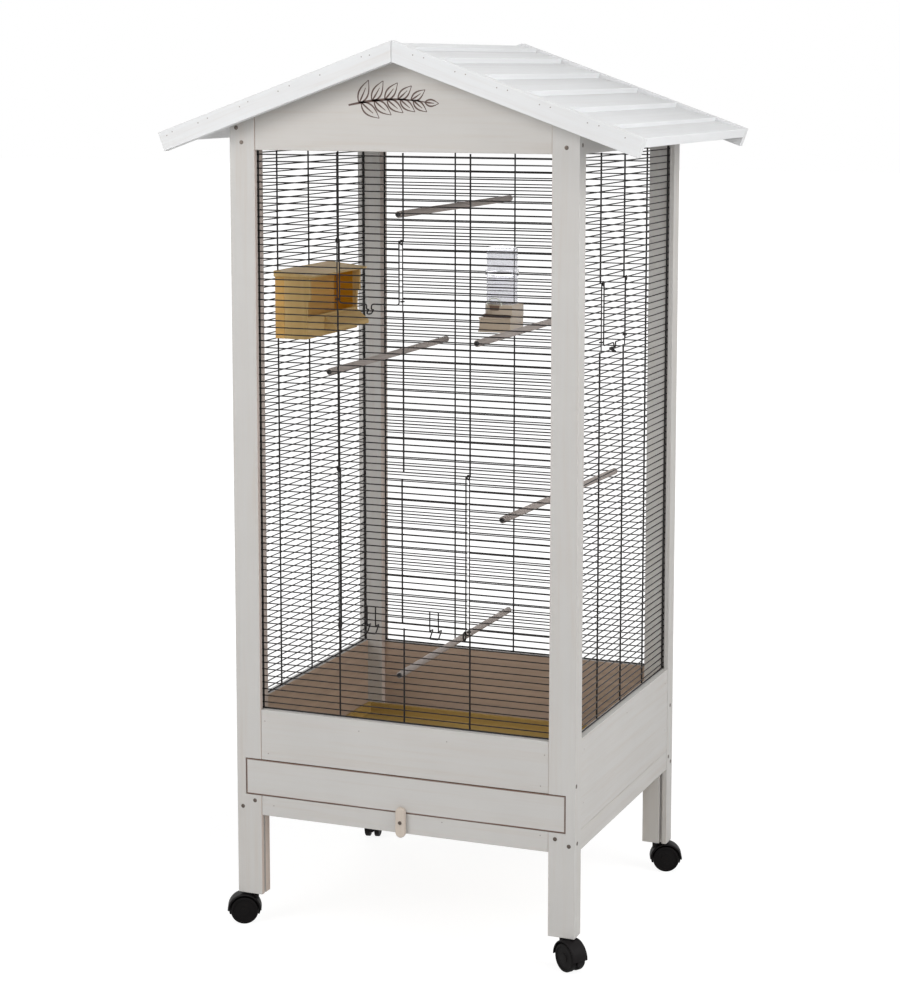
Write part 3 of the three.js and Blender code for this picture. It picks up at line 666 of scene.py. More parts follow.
class AVIARY_OT_dress_woodwork(bpy.types.Operator):
    """Paint the posts, rails, panels, gables and roof, and round their edges"""

    bl_idname = "aviary.dress_woodwork"
    bl_label = "Dress woodwork"

    def execute(self, context):
        wood = context.scene.aviary_wood
        inner_face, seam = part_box("post_back_right")[0].x, 0.5 * MM
        upright = make_whitewash(
            "whitewash_upright", wood.whitewash, "Z",
            inner=("X", inner_face + seam), inner_tone=wood.inner_post,
        )
        level = make_whitewash("whitewash_level", wood.whitewash, "X")
        deep = make_whitewash("whitewash_deep", wood.whitewash, "Y")
        gable = make_whitewash("whitewash_gable", wood.gable_whitewash, "X", offset=(0.3, 0, 0.2))
        paints = {f"post_{corner}": upright for corner in CORNERS}
        for end in ENDS:
            paints[f"gable_panel_{end}"] = gable
            paints[f"bottom_rail_{end}"] = level
            paints[f"lower_panel_{end}"] = self.paint_panel(wood, end, along="X", through="Y")
        for side in SIDES:
            paints[f"top_rail_{side}"] = deep
            paints[f"bottom_rail_{side}"] = deep
            paints[f"lower_panel_{side}"] = self.paint_panel(wood, side, along="Y", through="X")
            paints.update(self.paint_slope(wood, side))
        for node, paint in paints.items():
            dress(node, paint, wood.edge_radius)
        return {"FINISHED"}

    @staticmethod
    def paint_panel(wood, wall, along, through):
        """Paint outside, and inside a darker, warmer tone: painted shade with warm bounce from the tray."""
        faces = [abs(getattr(corner, through.lower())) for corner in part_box(f"lower_panel_{wall}")]
        return make_whitewash(
            f"whitewash_{wall}_panel", wood.whitewash, along,
            inner=(through, min(faces) + wood.edge_radius), inner_tone=wood.inner_panel_shade,
        )

    @staticmethod
    def paint_slope(wood, side):
        """Paint for the boards and bargeboards of one slope. The grain differs from board to board."""
        shift, grain_share = 0.37, 0.45
        outwards = -1 if side == "left" else 1
        down_slope = (outwards * math.cos(ROOF_PITCH), 0, -math.sin(ROOF_PITCH))
        bargeboard = make_whitewash(
            f"whitewash_bargeboard_{side}", wood.roof_whitewash, tilt=-outwards * ROOF_PITCH
        )
        paints = {f"bargeboard_{end}_{side}": bargeboard for end in ENDS}
        # Each board's riser faces down the slope and takes painted light.
        for board in range(1, ROOF_BOARDS + 1):
            paints[f"roof_board_{side}_{board}"] = make_whitewash(
                f"whitewash_roof_{side}_{board}", wood.roof_whitewash, "Y", offset=(shift * board, 0, 0),
                bare_share=grain_share, step=down_slope,
            )
        return paints


class AVIARY_OT_dress_drawer(bpy.types.Operator):
    """Paint the drawer front, give it a dark edge of scorch and painted gap shade, and finish the tray"""

    bl_idname = "aviary.dress_drawer"
    bl_label = "Dress drawer"

    def execute(self, context):
        wood = context.scene.aviary_wood
        rim, front_radius, tray_radius = 1.3 * MM, 0.5 * MM, 0.6 * MM
        strip, strip_front, strip_back = 1.6 * MM, 0.5 * MM, 2 * MM
        low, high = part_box("drawer_front")
        scorch_and_shade_band = Vector((rim, rim, rim))
        paint = make_whitewash(
            "whitewash_drawer", wood.whitewash, "X", offset=(1, 2, 3), rim=(low + scorch_and_shade_band, high - scorch_and_shade_band)
        )
        dark_share, scorch_and_shade_dark_share = 0.62, 0.55
        dark = scaled(wood.tray, dark_share)
        board = make_timber("tray_board", wood.tray, dark, contrast=0.7, roughness=0.55)
        dress("drawer_front", paint, front_radius)
        dress("drawer_tray", board, tray_radius)
        # Strips of the dark edge tone fill the gap round the drawer front: scorched edges and painted shade
        # of the gap.
        shape = Shape()
        front, back = low.y + strip_front, high.y - strip_back
        for z0, z1 in ((low.z - strip, low.z), (high.z, high.z + strip)):
            shape.board((low.x - strip, front, z0), (high.x + strip, back, z1))
        for x0, x1 in ((low.x - strip, low.x), (high.x, high.x + strip)):
            shape.board((x0, front, low.z), (x1, back, high.z))
        tone = wood.scorch_and_gap_shade
        scorch_and_shade = make_timber(
            "scorch_and_gap_shade", tone, scaled(tone, scorch_and_shade_dark_share), contrast=0.9, roughness=0.75
        )
        make_piece("drawer_edge", shape, scorch_and_shade, "drawer")
        return {"FINISHED"}


# Wire walls and doors, drawn flat: across, depth (outwards is negative), height


ROW_SPACING = 12 * MM
GRID_BOTTOM, GRILLE_TOP = (corner.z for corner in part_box("wire_panel_front"))
ROWS = int((GRILLE_TOP - GRID_BOTTOM) / ROW_SPACING)
ROW_LAYER = 2.2 * MM
UPRIGHT_DEPTH = 2.4 * MM
GUIDE_CLEARANCE = 1.8 * MM
GUIDE_REACH = 2.2 * MM
GUIDE_LIFT = 6 * MM
DOOR_DEPTH = -2.5 * MM
DOOR_LEAN = 2.6 * MM
FRONT_UPRIGHTS = 122.5 * MM
SIDE_UPRIGHTS = 131 * MM
LOWER_DOOR = {
    "left": -FRONT_UPRIGHTS, "right": FRONT_UPRIGHTS, "row": 14, "rows": 23,
    "catches": (-59 * MM, 59 * MM), "catch_width": 16 * MM,
}
UPPER_DOOR = {"left": -FRONT_UPRIGHTS, "right": 0.0, "row": 60, "rows": 10}
SIDE_DOOR = {"left": -SIDE_UPRIGHTS, "right": 0.0, "row": 54, "rows": 10}


def row_height(row):
    return GRID_BOTTOM + row * ROW_SPACING


def wall_place(node):
    """From a wall's flat drawing to its place."""
    wall = node.split("_")[-1]
    low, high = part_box(node)
    turn = {"front": 0, "right": QUARTER_TURN, "back": math.pi, "left": -QUARTER_TURN}[wall]
    middle = ROW_LAYER / 2
    x = {"right": high.x - middle, "left": low.x + middle}.get(wall, 0)
    y = {"front": low.y + middle, "back": high.y - middle}.get(wall, 0)
    return Matrix.Translation((x, y, 0)) @ Matrix.Rotation(turn, 4, "Z")


def level_wire(left, right, depth, height, radius):
    return [(left, depth, height), (right, depth, height)], radius


def standing_wire(across, depth, low, high, radius):
    return [(across, depth, low), (across, depth, high)], radius


def wall_strands(wire, half, open_half, bottom, uprights, doors):
    """Level wires, uprights, and a stout wire along each edge."""
    row_radius, upright_radius = wire.row_diameter / 2, wire.upright_diameter / 2
    edge_inset, foot_wire_share = 0.6 * MM, 0.9
    strands = []
    end = half - row_radius
    for row in range(1, ROWS + 1):
        height = row_height(row)
        if height - row_radius < bottom + row_radius or height + row_radius > GRILLE_TOP - row_radius:
            continue
        left = -end
        for door in doors:
            if door["row"] < row < door["row"] + door["rows"]:
                strands.append(level_wire(left, door["left"], 0, height, row_radius))
                left = door["right"]
        strands.append(level_wire(left, end, 0, height, row_radius))
    edge = open_half - edge_inset
    low, high = bottom + upright_radius, GRILLE_TOP - upright_radius
    strands.append(level_wire(-end, end, 0, low, upright_radius * foot_wire_share))
    for across in (-edge, edge):
        strands.append(standing_wire(across, UPRIGHT_DEPTH / 3, low, high, upright_radius))
    for across in uprights:
        foot = low
        for door in doors:
            if not door["left"] <= across <= door["right"]:
                continue
            sill, lintel = row_height(door["row"]), row_height(door["row"] + door["rows"])
            strands.append(standing_wire(across, UPRIGHT_DEPTH, foot, sill + row_radius, upright_radius))
            if across in (door["left"], door["right"]):
                strands.append(standing_wire(across, 0, sill, lintel, ROW_LAYER / 2))
            foot = lintel - row_radius
        strands.append(standing_wire(across, UPRIGHT_DEPTH, foot, high, upright_radius))
    return strands


def guide_ring(edge, outward, height, radius):
    """A wire from the door's side that grips its guide from the front and from behind."""
    bend = 1.2 * MM
    finger = edge + outward * (GUIDE_CLEARANCE + GUIDE_REACH)
    inner = edge - outward * radius
    corners = ((finger, DOOR_DEPTH), (inner, DOOR_DEPTH), (inner, -DOOR_DEPTH), (finger, -DOOR_DEPTH))
    return rounded([(across, depth, height) for across, depth in corners], bend, steps=3), radius


def lintel_eye(edge, outward, lintel, radius):
    """The eye at the top of a door's side."""
    outset, drop, half_width, half_height, stout_share = 0.4 * MM, 1 * MM, 2 * MM, 3.6 * MM, 1.1
    centre = (edge + outward * outset, DOOR_DEPTH, lintel - drop)
    return oval(centre, (half_width, 0, 0), (0, 0, half_height)), radius * stout_share, True


def catch_path(middle, width, head, foot_row):
    """Two legs in front of a row, bent in above it and out below it, joined by a bar under it."""
    bend, reach_in, slope = 2.2 * MM, 10 * MM, 0.6 * MM
    half = width / 2
    row = row_height(foot_row)
    front = DOOR_DEPTH - bend
    above, below = row + 2.6 * MM, row - 11.5 * MM
    right = [
        (half, front, head), (half, front, above), (half, reach_in, above - slope), (half, front, below),
    ]
    points = [(middle + across, depth, height) for across, depth, height in right]
    points += [(middle - across, depth, height) for across, depth, height in reversed(right)]
    return rounded(points, bend)


def door_limits(door):
    """Left edge, right edge, first row and last row."""
    left, right = door["left"] + GUIDE_CLEARANCE, door["right"] - GUIDE_CLEARANCE
    return left, right, door["row"] + 1, door["row"] + door["rows"] - 1


def lower_door_strands(wire, door):
    """A door with an eye at each corner, a stout wire down its middle and two catches."""
    row_radius, radius, stout_share = wire.row_diameter / 2, wire.door_diameter / 2, 1.25
    side_lift, eye_drop, eye_reach, eye_rise, eye_lean, eye_half = (
        4 * MM, 0.5 * MM, 5.5 * MM, 2 * MM, 1.5 * MM, 7.2 * MM,
    )
    left, right, first, last = door_limits(door)
    sill, lintel = row_height(first - 1), row_height(last + 1)
    strands = [
        level_wire(left + radius, right - radius, DOOR_DEPTH, row_height(row), row_radius)
        for row in range(first, last + 1)
    ]
    for edge, outward in ((left, -1), (right, 1)):
        side = edge - outward * (radius + DOOR_LEAN)
        centre = (side, DOOR_DEPTH - eye_reach, sill - eye_drop)
        foot_eye = oval(centre, (0, eye_reach, eye_rise), (0, -eye_lean, eye_half))
        strands += [
            standing_wire(side, DOOR_DEPTH, sill + side_lift, lintel, radius),
            (foot_eye, radius * stout_share, True),
            lintel_eye(edge, outward, lintel, radius),
            guide_ring(edge, outward, sill + GUIDE_LIFT, radius),
        ]
    tip, bend = DOOR_DEPTH - 0.6 * MM, 3 * MM
    front = DOOR_DEPTH - row_radius - radius
    bottom, top = row_height(first), row_height(last)
    middle_wire = [
        (0, tip, bottom - row_radius), (0, front, bottom + bend),
        (0, front, top - bend), (0, tip, top + row_radius),
    ]
    strands.append((rounded(middle_wire, bend), radius * stout_share))
    for middle in door["catches"]:
        strands.append((catch_path(middle, door["catch_width"], row_height(first + 2), first - 1), radius))
    return strands


def small_door_strands(wire, door):
    """A door whose side wires run on as its foot and end in the catch."""
    row_radius, radius = wire.row_diameter / 2, wire.door_diameter / 2
    half, bend, side_rise, catch_depth = 4.5 * MM, 5 * MM, 2 * MM, 7 * MM
    left, right, first, last = door_limits(door)
    sill, foot, lintel = row_height(first - 1), row_height(first), row_height(last + 1)
    side = right - radius - DOOR_LEAN
    strands = [
        level_wire(left + radius + DOOR_LEAN, side, DOOR_DEPTH, row_height(row), row_radius)
        for row in range(first + 1, last + 1)
    ]
    middle = (door["left"] + door["right"]) / 2
    outline = [
        (side, DOOR_DEPTH, lintel + side_rise),
        (side, DOOR_DEPTH, foot),
        (middle + half, DOOR_DEPTH, foot),
        (middle + half, DOOR_DEPTH - 1.5 * MM, sill + 2.6 * MM),
        (middle + half, catch_depth, sill + 2.2 * MM),
        (middle + half, DOOR_DEPTH - 2 * MM, sill - 5 * MM),
    ]
    mirrored = [(2 * middle - across, depth, height) for across, depth, height in reversed(outline)]
    strands.append((rounded(outline + mirrored, bend, steps=5), radius))
    for edge, outward in ((left, -1), (right, 1)):
        strands.append(lintel_eye(edge, outward, lintel, radius))
        strands.append(guide_ring(edge, outward, foot + GUIDE_LIFT, radius))
    return strands


class AVIARY_OT_hang_wire_walls(bpy.types.Operator):
    """Draw the four walls of level wires and uprights"""

    bl_idname = "aviary.hang_wire_walls"
    bl_label = "Hang wire walls"

    def execute(self, context):
        wire = context.scene.aviary_wire
        post_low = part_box("post_back_right")[0]
        doors = {"front": [LOWER_DOOR, UPPER_DOOR], "right": [SIDE_DOOR]}
        for wall in ("front", "right", "back", "left"):
            node = f"wire_panel_{wall}"
            low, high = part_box(node)
            at_end = wall in ENDS
            half = high.x if at_end else high.y
            open_half = post_low.x if at_end else post_low.y
            spacing = FRONT_UPRIGHTS if at_end else SIDE_UPRIGHTS
            uprights = [-spacing, 0.0, spacing]
            strands = wall_strands(wire, half, open_half, low.z, uprights, doors.get(wall, []))
            place = wall_place(node)
            make_wires(f"wire_wall_{wall}", strands, wire_material(), "frame", [node], place)
        return {"FINISHED"}


class AVIARY_OT_hang_doors(bpy.types.Operator):
    """Draw the lift-up doors with their eyes, guide rings and catches"""

    bl_idname = "aviary.hang_doors"
    bl_label = "Hang doors"

    def execute(self, context):
        wire = context.scene.aviary_wire
        front, right = wall_place("wire_panel_front"), wall_place("wire_panel_right")
        doors = (
            ("door_front_lower", lower_door_strands(wire, LOWER_DOOR), front),
            ("door_front_upper", small_door_strands(wire, UPPER_DOOR), front),
            ("door_side", small_door_strands(wire, SIDE_DOOR), right),
        )
        for name, strands, place in doors:
            make_wires(f"{name}_wires", strands, wire_material(), name, [name], place)
        return {"FINISHED"}


# Perches, nest box and feeder


PERCH_RADIUS = 6 * MM
PLUG_LENGTH = 4 * MM


class AVIARY_OT_lay_perches(bpy.types.Operator):
    """Turn the five perches and their plugs"""

    bl_idname = "aviary.lay_perches"
    bl_label = "Lay perches"

    def execute(self, context):
        fittings = context.scene.aviary_fittings
        dark_share = 0.66
        dark = scaled(fittings.perch, dark_share)
        rod = shared("perch_wood", make_timber, fittings.perch, dark, "Y", roughness=0.65)
        rubber = shared("perch_plug", make_plastic, fittings.plug, roughness=0.5)
        for name in ("top", "bottom", "nest", "feeder", "low"):
            node = f"perch_{name}"
            low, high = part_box(node)
            half = (high.y - low.y) / 2
            shift = high.x - low.x - 2 * PERCH_RADIUS if name == "low" else 0
            place = (
                Matrix.Translation(((low.x + high.x) / 2, 0, (low.z + high.z) / 2))
                @ Matrix.Rotation(-math.atan2(shift, 2 * half), 4, "Z")
                @ Matrix.Rotation(-QUARTER_TURN, 4, "X")
            )
            make_piece(
                f"{node}_rod", self.turn_rod(half, place), rod, "frame", [node],
                sharp_angle=math.radians(50),
            )
            make_piece(
                f"{node}_plugs", self.turn_plugs(half, place), rubber, "frame",
                sharp_angle=math.radians(40),
            )
        return {"FINISHED"}

    @staticmethod
    def turn_rod(half, place):
        """A rod with rounded ends, which stop short of the plugs' faces."""
        round_over, corner_share, covered_share = 1.1 * MM, 0.3, 0.6
        body = half - PLUG_LENGTH * covered_share
        corner = round_over * corner_share
        end = [
            (PERCH_RADIUS, body / 2), (PERCH_RADIUS, body - round_over),
            (PERCH_RADIUS - corner, body - corner), (PERCH_RADIUS - round_over, body), (0, body),
        ]
        other_end = [(radius, -along) for radius, along in reversed(end)]
        return Shape().lathe(other_end + [(PERCH_RADIUS, 0)] + end, 32, place)

    @staticmethod
    def turn_plugs(half, place):
        """A plug in each end, with a round hollow."""
        radius, edge, hollow_depth = 4.3 * MM, 0.6 * MM, 2 * MM
        rim_share, throat_share, hollow_share = 0.62, 0.55, 0.5
        ends = Shape()
        for side in (-1, 1):
            mouth, face = side * half, side * (half - PLUG_LENGTH)
            cup = [
                (0, face), (radius, face), (radius, mouth - side * edge), (radius - edge, mouth),
                (radius * rim_share, mouth), (radius * throat_share, mouth - side * hollow_depth / 4),
                (radius * hollow_share, mouth - side * hollow_depth), (0, mouth - side * hollow_depth),
            ]
            ends.lathe(cup, 24, place)
        return ends


class AVIARY_OT_build_nest_box(bpy.types.Operator):
    """Join the nest box from its boards"""

    bl_idname = "aviary.build_nest_box"
    bl_label = "Build nest box"

    def execute(self, context):
        fittings = context.scene.aviary_fittings
        outer_shares, inner_share = (0.78, 0.7, 0.55), 0.72
        along, upright, inside, lined = (
            shared(f"nest_wood_{name}", make_timber, tone, scaled(tone, *shares), axis, streak_scale=120.0)
            for name, tone, shares, axis in (
                ("along", fittings.nest, outer_shares, "Y"),
                ("upright", fittings.nest, outer_shares, "Z"),
                ("back", fittings.nest_back, [inner_share], "Y"),
                ("inner_end", fittings.nest_inside_bounce, [inner_share], "Y"),
            )
        )
        low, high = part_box("nest_box")
        wall, back_wall, lining_wall, gap = 6 * MM, 18 * MM, 1 * MM, 0.15 * MM
        depth, height, front_height = 62 * MM, 115 * MM, 40 * MM
        overhang, lid_reach, lid_fall, lid_edge, lid_gap = 6 * MM, 18 * MM, 8 * MM, 3 * MM, 0.2 * MM
        back, bottom = low.x, low.z
        front, top = back + depth, bottom + height
        near, far = low.y + overhang, high.y - overhang
        inner_back, lid_foot = back + back_wall + gap, top - lid_edge
        under_lid = lid_foot - lid_gap
        inner_near, inner_far = near + wall + gap, far - wall - gap

        # The ends are broader above the entrance's middle than below it
        brow, brow_height, foot_inset, cheek = 7.5 * MM, bottom + 70 * MM, 0.4 * MM, 2 * MM
        end = [
            (inner_back, bottom), (front - foot_inset, bottom), (front + cheek, brow_height),
            (front + brow, brow_height + 1 * MM), (front + brow, under_lid), (inner_back, under_lid),
        ]
        ends = Shape()
        for start in (near, far - wall):
            ends.prism(end, -wall, 0, side_place(start))
        make_piece("nest_ends", ends, upright, "frame", ["nest_box"], bevel=0.7 * MM)
        backing = Shape().board((back, near, bottom), (back + back_wall, far, under_lid))
        make_piece("nest_back", backing, inside, "frame", bevel=0.7 * MM)
        boards = Shape()
        boards.board((front - wall, inner_near, bottom + gap), (front, inner_far, bottom + front_height))
        boards.board((inner_back, inner_near, bottom), (front - wall - gap, inner_far, bottom + wall))
        make_piece("nest_boards", boards, along, "frame", bevel=0.7 * MM)
        # A thin lining of the amber copy on the inner far end: painted warm bounce light over the pine.
        lining = Shape().board(
            (inner_back, inner_far - lining_wall, bottom + wall + gap),
            (front - wall - 2 * gap, inner_far, under_lid - gap),
        )
        make_piece("nest_lining", lining, lined, "frame", bevel=0.3 * MM)

        lid_front = front + lid_reach
        lid = [(back, lid_foot), (lid_front, lid_foot), (lid_front, top), (back, top + lid_fall)]
        lid_shape = Shape().prism(lid, low.y - high.y, 0, side_place(low.y))
        make_piece("nest_lid", lid_shape, along, "frame", bevel=0.9 * MM)
        ledge_length, tip, ledge_back = 146 * MM, front + 24 * MM, front + gap
        ledge_foot, ledge_tip, ledge_top = bottom + 9 * MM, bottom + 16 * MM, bottom + 36 * MM
        ledge = [(ledge_back, ledge_foot), (tip, ledge_foot), (tip, ledge_tip), (ledge_back, ledge_top)]
        ledge_shape = Shape().prism(ledge, -ledge_length, 0, side_place(far - ledge_length))
        make_piece("nest_ledge", ledge_shape, along, "frame", bevel=1.4 * MM)
        return {"FINISHED"}


def side_place(start):
    """For an outline in X and Z that is drawn from Y = start towards the back by negative heights."""
    return Matrix.Translation((0, start, 0)) @ Matrix.Rotation(QUARTER_TURN, 4, "X")


class AVIARY_OT_build_feeder(bpy.types.Operator):
    """Mould the feeder's trough and neck, and its clear hopper"""

    bl_idname = "aviary.build_feeder"
    bl_label = "Build feeder"

    def execute(self, context):
        fittings = context.scene.aviary_fittings
        beige = shared("feeder_trough_plastic", make_plastic, fittings.trough, roughness=0.35, coat=0.2)
        shaded = shared("feeder_inner_plastic", make_plastic, fittings.trough_painted_shade, roughness=0.6)
        clear = shared("feeder_hopper_plastic", make_clear_plastic, fittings.hopper)
        rim = shared("feeder_arch_plastic", make_plastic, fittings.arch, roughness=0.3)
        low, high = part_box("feeder_trough")
        hopper_low, hopper_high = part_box("feeder_hopper")
        radius, bore_radius, wall, gap = 32 * MM, 29.7 * MM, 2.2 * MM, 0.2 * MM
        lip_height, slot_height, arch_shift = 28 * MM, 5 * MM, 3 * MM
        floor_inset, floor_front, floor_depth = 4 * MM, 18 * MM, 2 * MM
        middle = (high.x - radius, high.y - radius)
        front = middle[1] - radius
        lip = low.z + lip_height
        slot_top = lip + slot_height
        self.build_trough(low, high, lip, wall, beige)
        # The neck is round on the left and square on the right
        neck = [(high.x, front), (high.x, high.y)] + arc(radius, QUARTER_TURN, math.pi, 24, middle)
        bore = arc(bore_radius, QUARTER_TURN, 2 * math.pi, 48, middle)[:-1]
        make_piece(
            "feeder_neck", self.walled(neck, bore, slot_top, high.z), beige, "frame",
            sharp_angle=math.radians(30), bevel=0.6 * MM,
        )
        # The neck's floor is a dark board of painted shade for the shaded mouth between the lip and the
        # neck.
        floor = Shape().board(
            (low.x + floor_inset, low.y + floor_front, lip - floor_depth),
            (high.x - wall - gap, high.y, slot_top - gap),
        )
        make_piece("feeder_neck_floor", floor, shaded, "frame", bevel=0.5 * MM)
        cheek = Shape().board((high.x - wall, front, lip + gap), (high.x, high.y, slot_top - gap))
        make_piece("feeder_cheek", cheek, beige, "frame")
        self.add_arch(middle[0] - arch_shift, front, high.z, rim, shaded)
        self.build_hopper(hopper_low.z, hopper_high.z, Matrix.Translation((*middle, 0)), clear)
        return {"FINISHED"}

    @staticmethod
    def build_trough(low, high, lip, wall, material):
        """An open tray. Its front leans in towards a rim, and flares at the foot."""
        right_inset = 0.6 * MM
        rings = []
        for inset, lean, height in (
            (0, 0, low.z), (0.4 * MM, 0.6 * MM, low.z + 4 * MM), (1.6 * MM, 3 * MM, low.z + 8 * MM),
            (1.6 * MM, 3 * MM, lip - 4 * MM), (0.6 * MM, 1.8 * MM, lip - 3 * MM), (0.6 * MM, 1.8 * MM, lip),
            (wall + 1.6 * MM, wall + 3 * MM, lip), (wall + 1.6 * MM, wall + 3 * MM, low.z + wall),
        ):
            inner = wall if inset > wall else 0
            x0, x1 = low.x + inset, high.x - min(inset, right_inset) - inner
            y0, y1 = low.y + lean, high.y - inner
            corners = ((x0, y0), (x1, y0), (x1, y1), (x0, y1), (x0, y0))
            rings.append([(x, y, height) for x, y in corners])
        trough = Shape().grid(rings)
        trough.add(rings[0][:4], [[3, 2, 1, 0]]).add(rings[-1][:4], [[0, 1, 2, 3]])
        make_piece(
            "feeder_tray", trough, material, "frame", ["feeder_trough"], bevel=0.7 * MM
        )

    @staticmethod
    def walled(outline, bore, low, high):
        """An upright body with an outline and a bore. Both are rings of corners."""
        shape = Shape()
        shape.grid([[(x, y, z) for x, y in outline + outline[:1]] for z in (low, high)])
        shape.grid([[(x, y, z) for x, y in bore + bore[:1]] for z in (high, low)])
        count = len(outline)
        nearest = [min(range(len(bore)), key=lambda k: math.dist(bore[k], corner)) for corner in outline]
        faces = []
        for index in range(count):
            following = (index + 1) % count
            steps = (nearest[following] - nearest[index]) % len(bore)
            inner_edge = [count + (nearest[index] + step) % len(bore) for step in range(steps + 1)]
            faces.append([index, *inner_edge, following])
        for z in (low, high):
            shape.add([(x, y, z) for x, y in outline + bore], faces)
        return shape

    @staticmethod
    def add_arch(x, face, top, rim_material, panel_material):
        """The half-round rim that stands on the neck's front, and below it a dark panel: painted shade of
        the recess, with the dark seeds behind it.
        """
        outer, inner, thick, sides = 15.5 * MM, 13.5 * MM, 1.8 * MM, 18
        gap, sink = 0.2 * MM, 2 * MM
        place = Matrix.Translation((x, face - gap, top - sink)) @ Matrix.Rotation(QUARTER_TURN, 4, "X")
        outline = arc(outer, 0, math.pi, sides) + arc(inner, math.pi, -math.pi, sides)
        last = len(outline) - 1
        rim = Shape()
        faces = [[k, k + 1, last - 1 - k, last - k] for k in range(sides)]
        for height in (0, thick):
            rim.add([(a, b, height) for a, b in outline], faces, place)
        rim.grid([[(a, b, height) for a, b in outline + outline[:1]] for height in (0, thick)], place=place)
        make_piece("feeder_arch", rim, rim_material, "frame", bevel=0.4 * MM)
        half, depth, foot_share = 10.5 * MM, 9 * MM, 0.8
        foot = foot_share * half
        panel = Shape().prism([(-half, 0), (-foot, -depth), (foot, -depth), (half, 0)], 0, 1 * MM, place)
        make_piece("feeder_arch_panel", panel, panel_material, "frame", bevel=0.3 * MM)

    @staticmethod
    def build_hopper(base, top, place, material):
        """A thin clear shell with a collar and a rounded top."""
        radius, skin, round_top = 29.5 * MM, 1.2 * MM, 5 * MM
        collar, collar_low, collar_high = 32 * MM, base + 69 * MM, base + 82 * MM
        hollow, ceiling = radius - skin, top - skin
        outer = [
            (radius, base), (radius, collar_low - 1 * MM), (collar - 0.6 * MM, collar_low),
            (collar, collar_low + 1 * MM), (collar, collar_low + 5 * MM),
            (collar - 1 * MM, collar_low + 6 * MM), (collar, collar_low + 7 * MM),
            (collar, collar_high - 1 * MM), (radius, collar_high),
        ]
        outer += arc(round_top, 0, QUARTER_TURN, 5, (radius - round_top, top - round_top))
        inner = arc(round_top, QUARTER_TURN, -QUARTER_TURN, 5, (hollow - round_top, ceiling - round_top))
        shell = Shape().lathe(outer + [(0, top)], 64, place)
        shell.lathe([(0, ceiling)] + inner + [(hollow, base), (radius, base)], 64, place)
        make_piece(
            "feeder_hopper_shell", shell, material, "frame", ["feeder_hopper"],
            sharp_angle=math.radians(40),
        )


# Turn button, fasteners and leaf sprig


def add_screw(shape, place, radius, dome, slot_depth):
    """A round head with a cross in it, facing along +Z of its place."""
    arm_share, half_share, floor_share = 0.62, 0.17, 0.85
    dome_shares = ((1, 0), (0.96, 0.6), (0.8, 1))
    arm, half = radius * arm_share, radius * half_share
    cross = [
        (arm, -half), (arm, half), (half, half), (half, arm), (-half, arm), (-half, half),
        (-arm, half), (-arm, -half), (-half, -half), (-half, -arm), (half, -arm), (half, -half),
    ]
    turns = [math.atan2(y, x) for x, y in cross]
    rings = [
        [(radius * across * math.cos(turn), radius * across * math.sin(turn), dome * up) for turn in turns]
        for across, up in dome_shares
    ]
    rings.append([(x, y, dome) for x, y in cross])
    rings.append([(x * floor_share, y * floor_share, dome - slot_depth) for x, y in cross])
    shape.grid([ring + ring[:1] for ring in rings], place=place)
    corners = list(range(len(cross)))
    shape.add(rings[-1], [corners], place)
    shape.add(rings[0], [corners[::-1]], place)


def facing(x, y, z, towards):
    """A place whose +Z points to one side of the aviary."""
    turn, axis = {
        "front": (QUARTER_TURN, "X"), "back": (-QUARTER_TURN, "X"),
        "right": (QUARTER_TURN, "Y"), "left": (-QUARTER_TURN, "Y"),
    }[towards]
    return Matrix.Translation((x, y, z)) @ Matrix.Rotation(turn, 4, axis)


class AVIARY_OT_fit_turn_button(bpy.types.Operator):
    """Shape the turn button and its screw"""

    bl_idname = "aviary.fit_turn_button"
    bl_label = "Fit turn button"

    def execute(self, context):
        wood, fittings = context.scene.aviary_wood, context.scene.aviary_fittings
        dark_share = 0.8
        dark = scaled(wood.button, dark_share)
        pine = shared("button_pine", make_timber, wood.button, dark, "Z", contrast=0.6)
        steel = shared("screw_steel", make_plastic, fittings.screw, roughness=0.35, metallic=0.9)
        screw_stand, sink = 1.5 * MM, 0.05 * MM
        low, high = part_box("turn_button")
        radius = (high.x - low.x) / 2
        middle = (low.z + high.z) / 2
        straight = (high.z - low.z) / 2 - radius
        face, back = low.y + screw_stand, high.y
        outline = arc(radius, 0, math.pi, 16, (0, straight))
        outline += arc(radius, math.pi, math.pi, 16, (0, -straight))
        bar = Shape().prism(outline, 0, back - face, facing(0, back, middle, "front"))
        make_piece(
            "turn_button_bar", bar, pine, "turn_button", ["turn_button"], bevel=1.6 * MM
        )
        screw = Shape()
        place = facing(0, face - sink, middle, "front")
        add_screw(screw, place, 3.5 * MM, dome=1.2 * MM, slot_depth=0.9 * MM)
        make_piece(
            "turn_button_screw", screw, steel, "turn_button", sharp_angle=math.radians(30)
        )
        return {"FINISHED"}


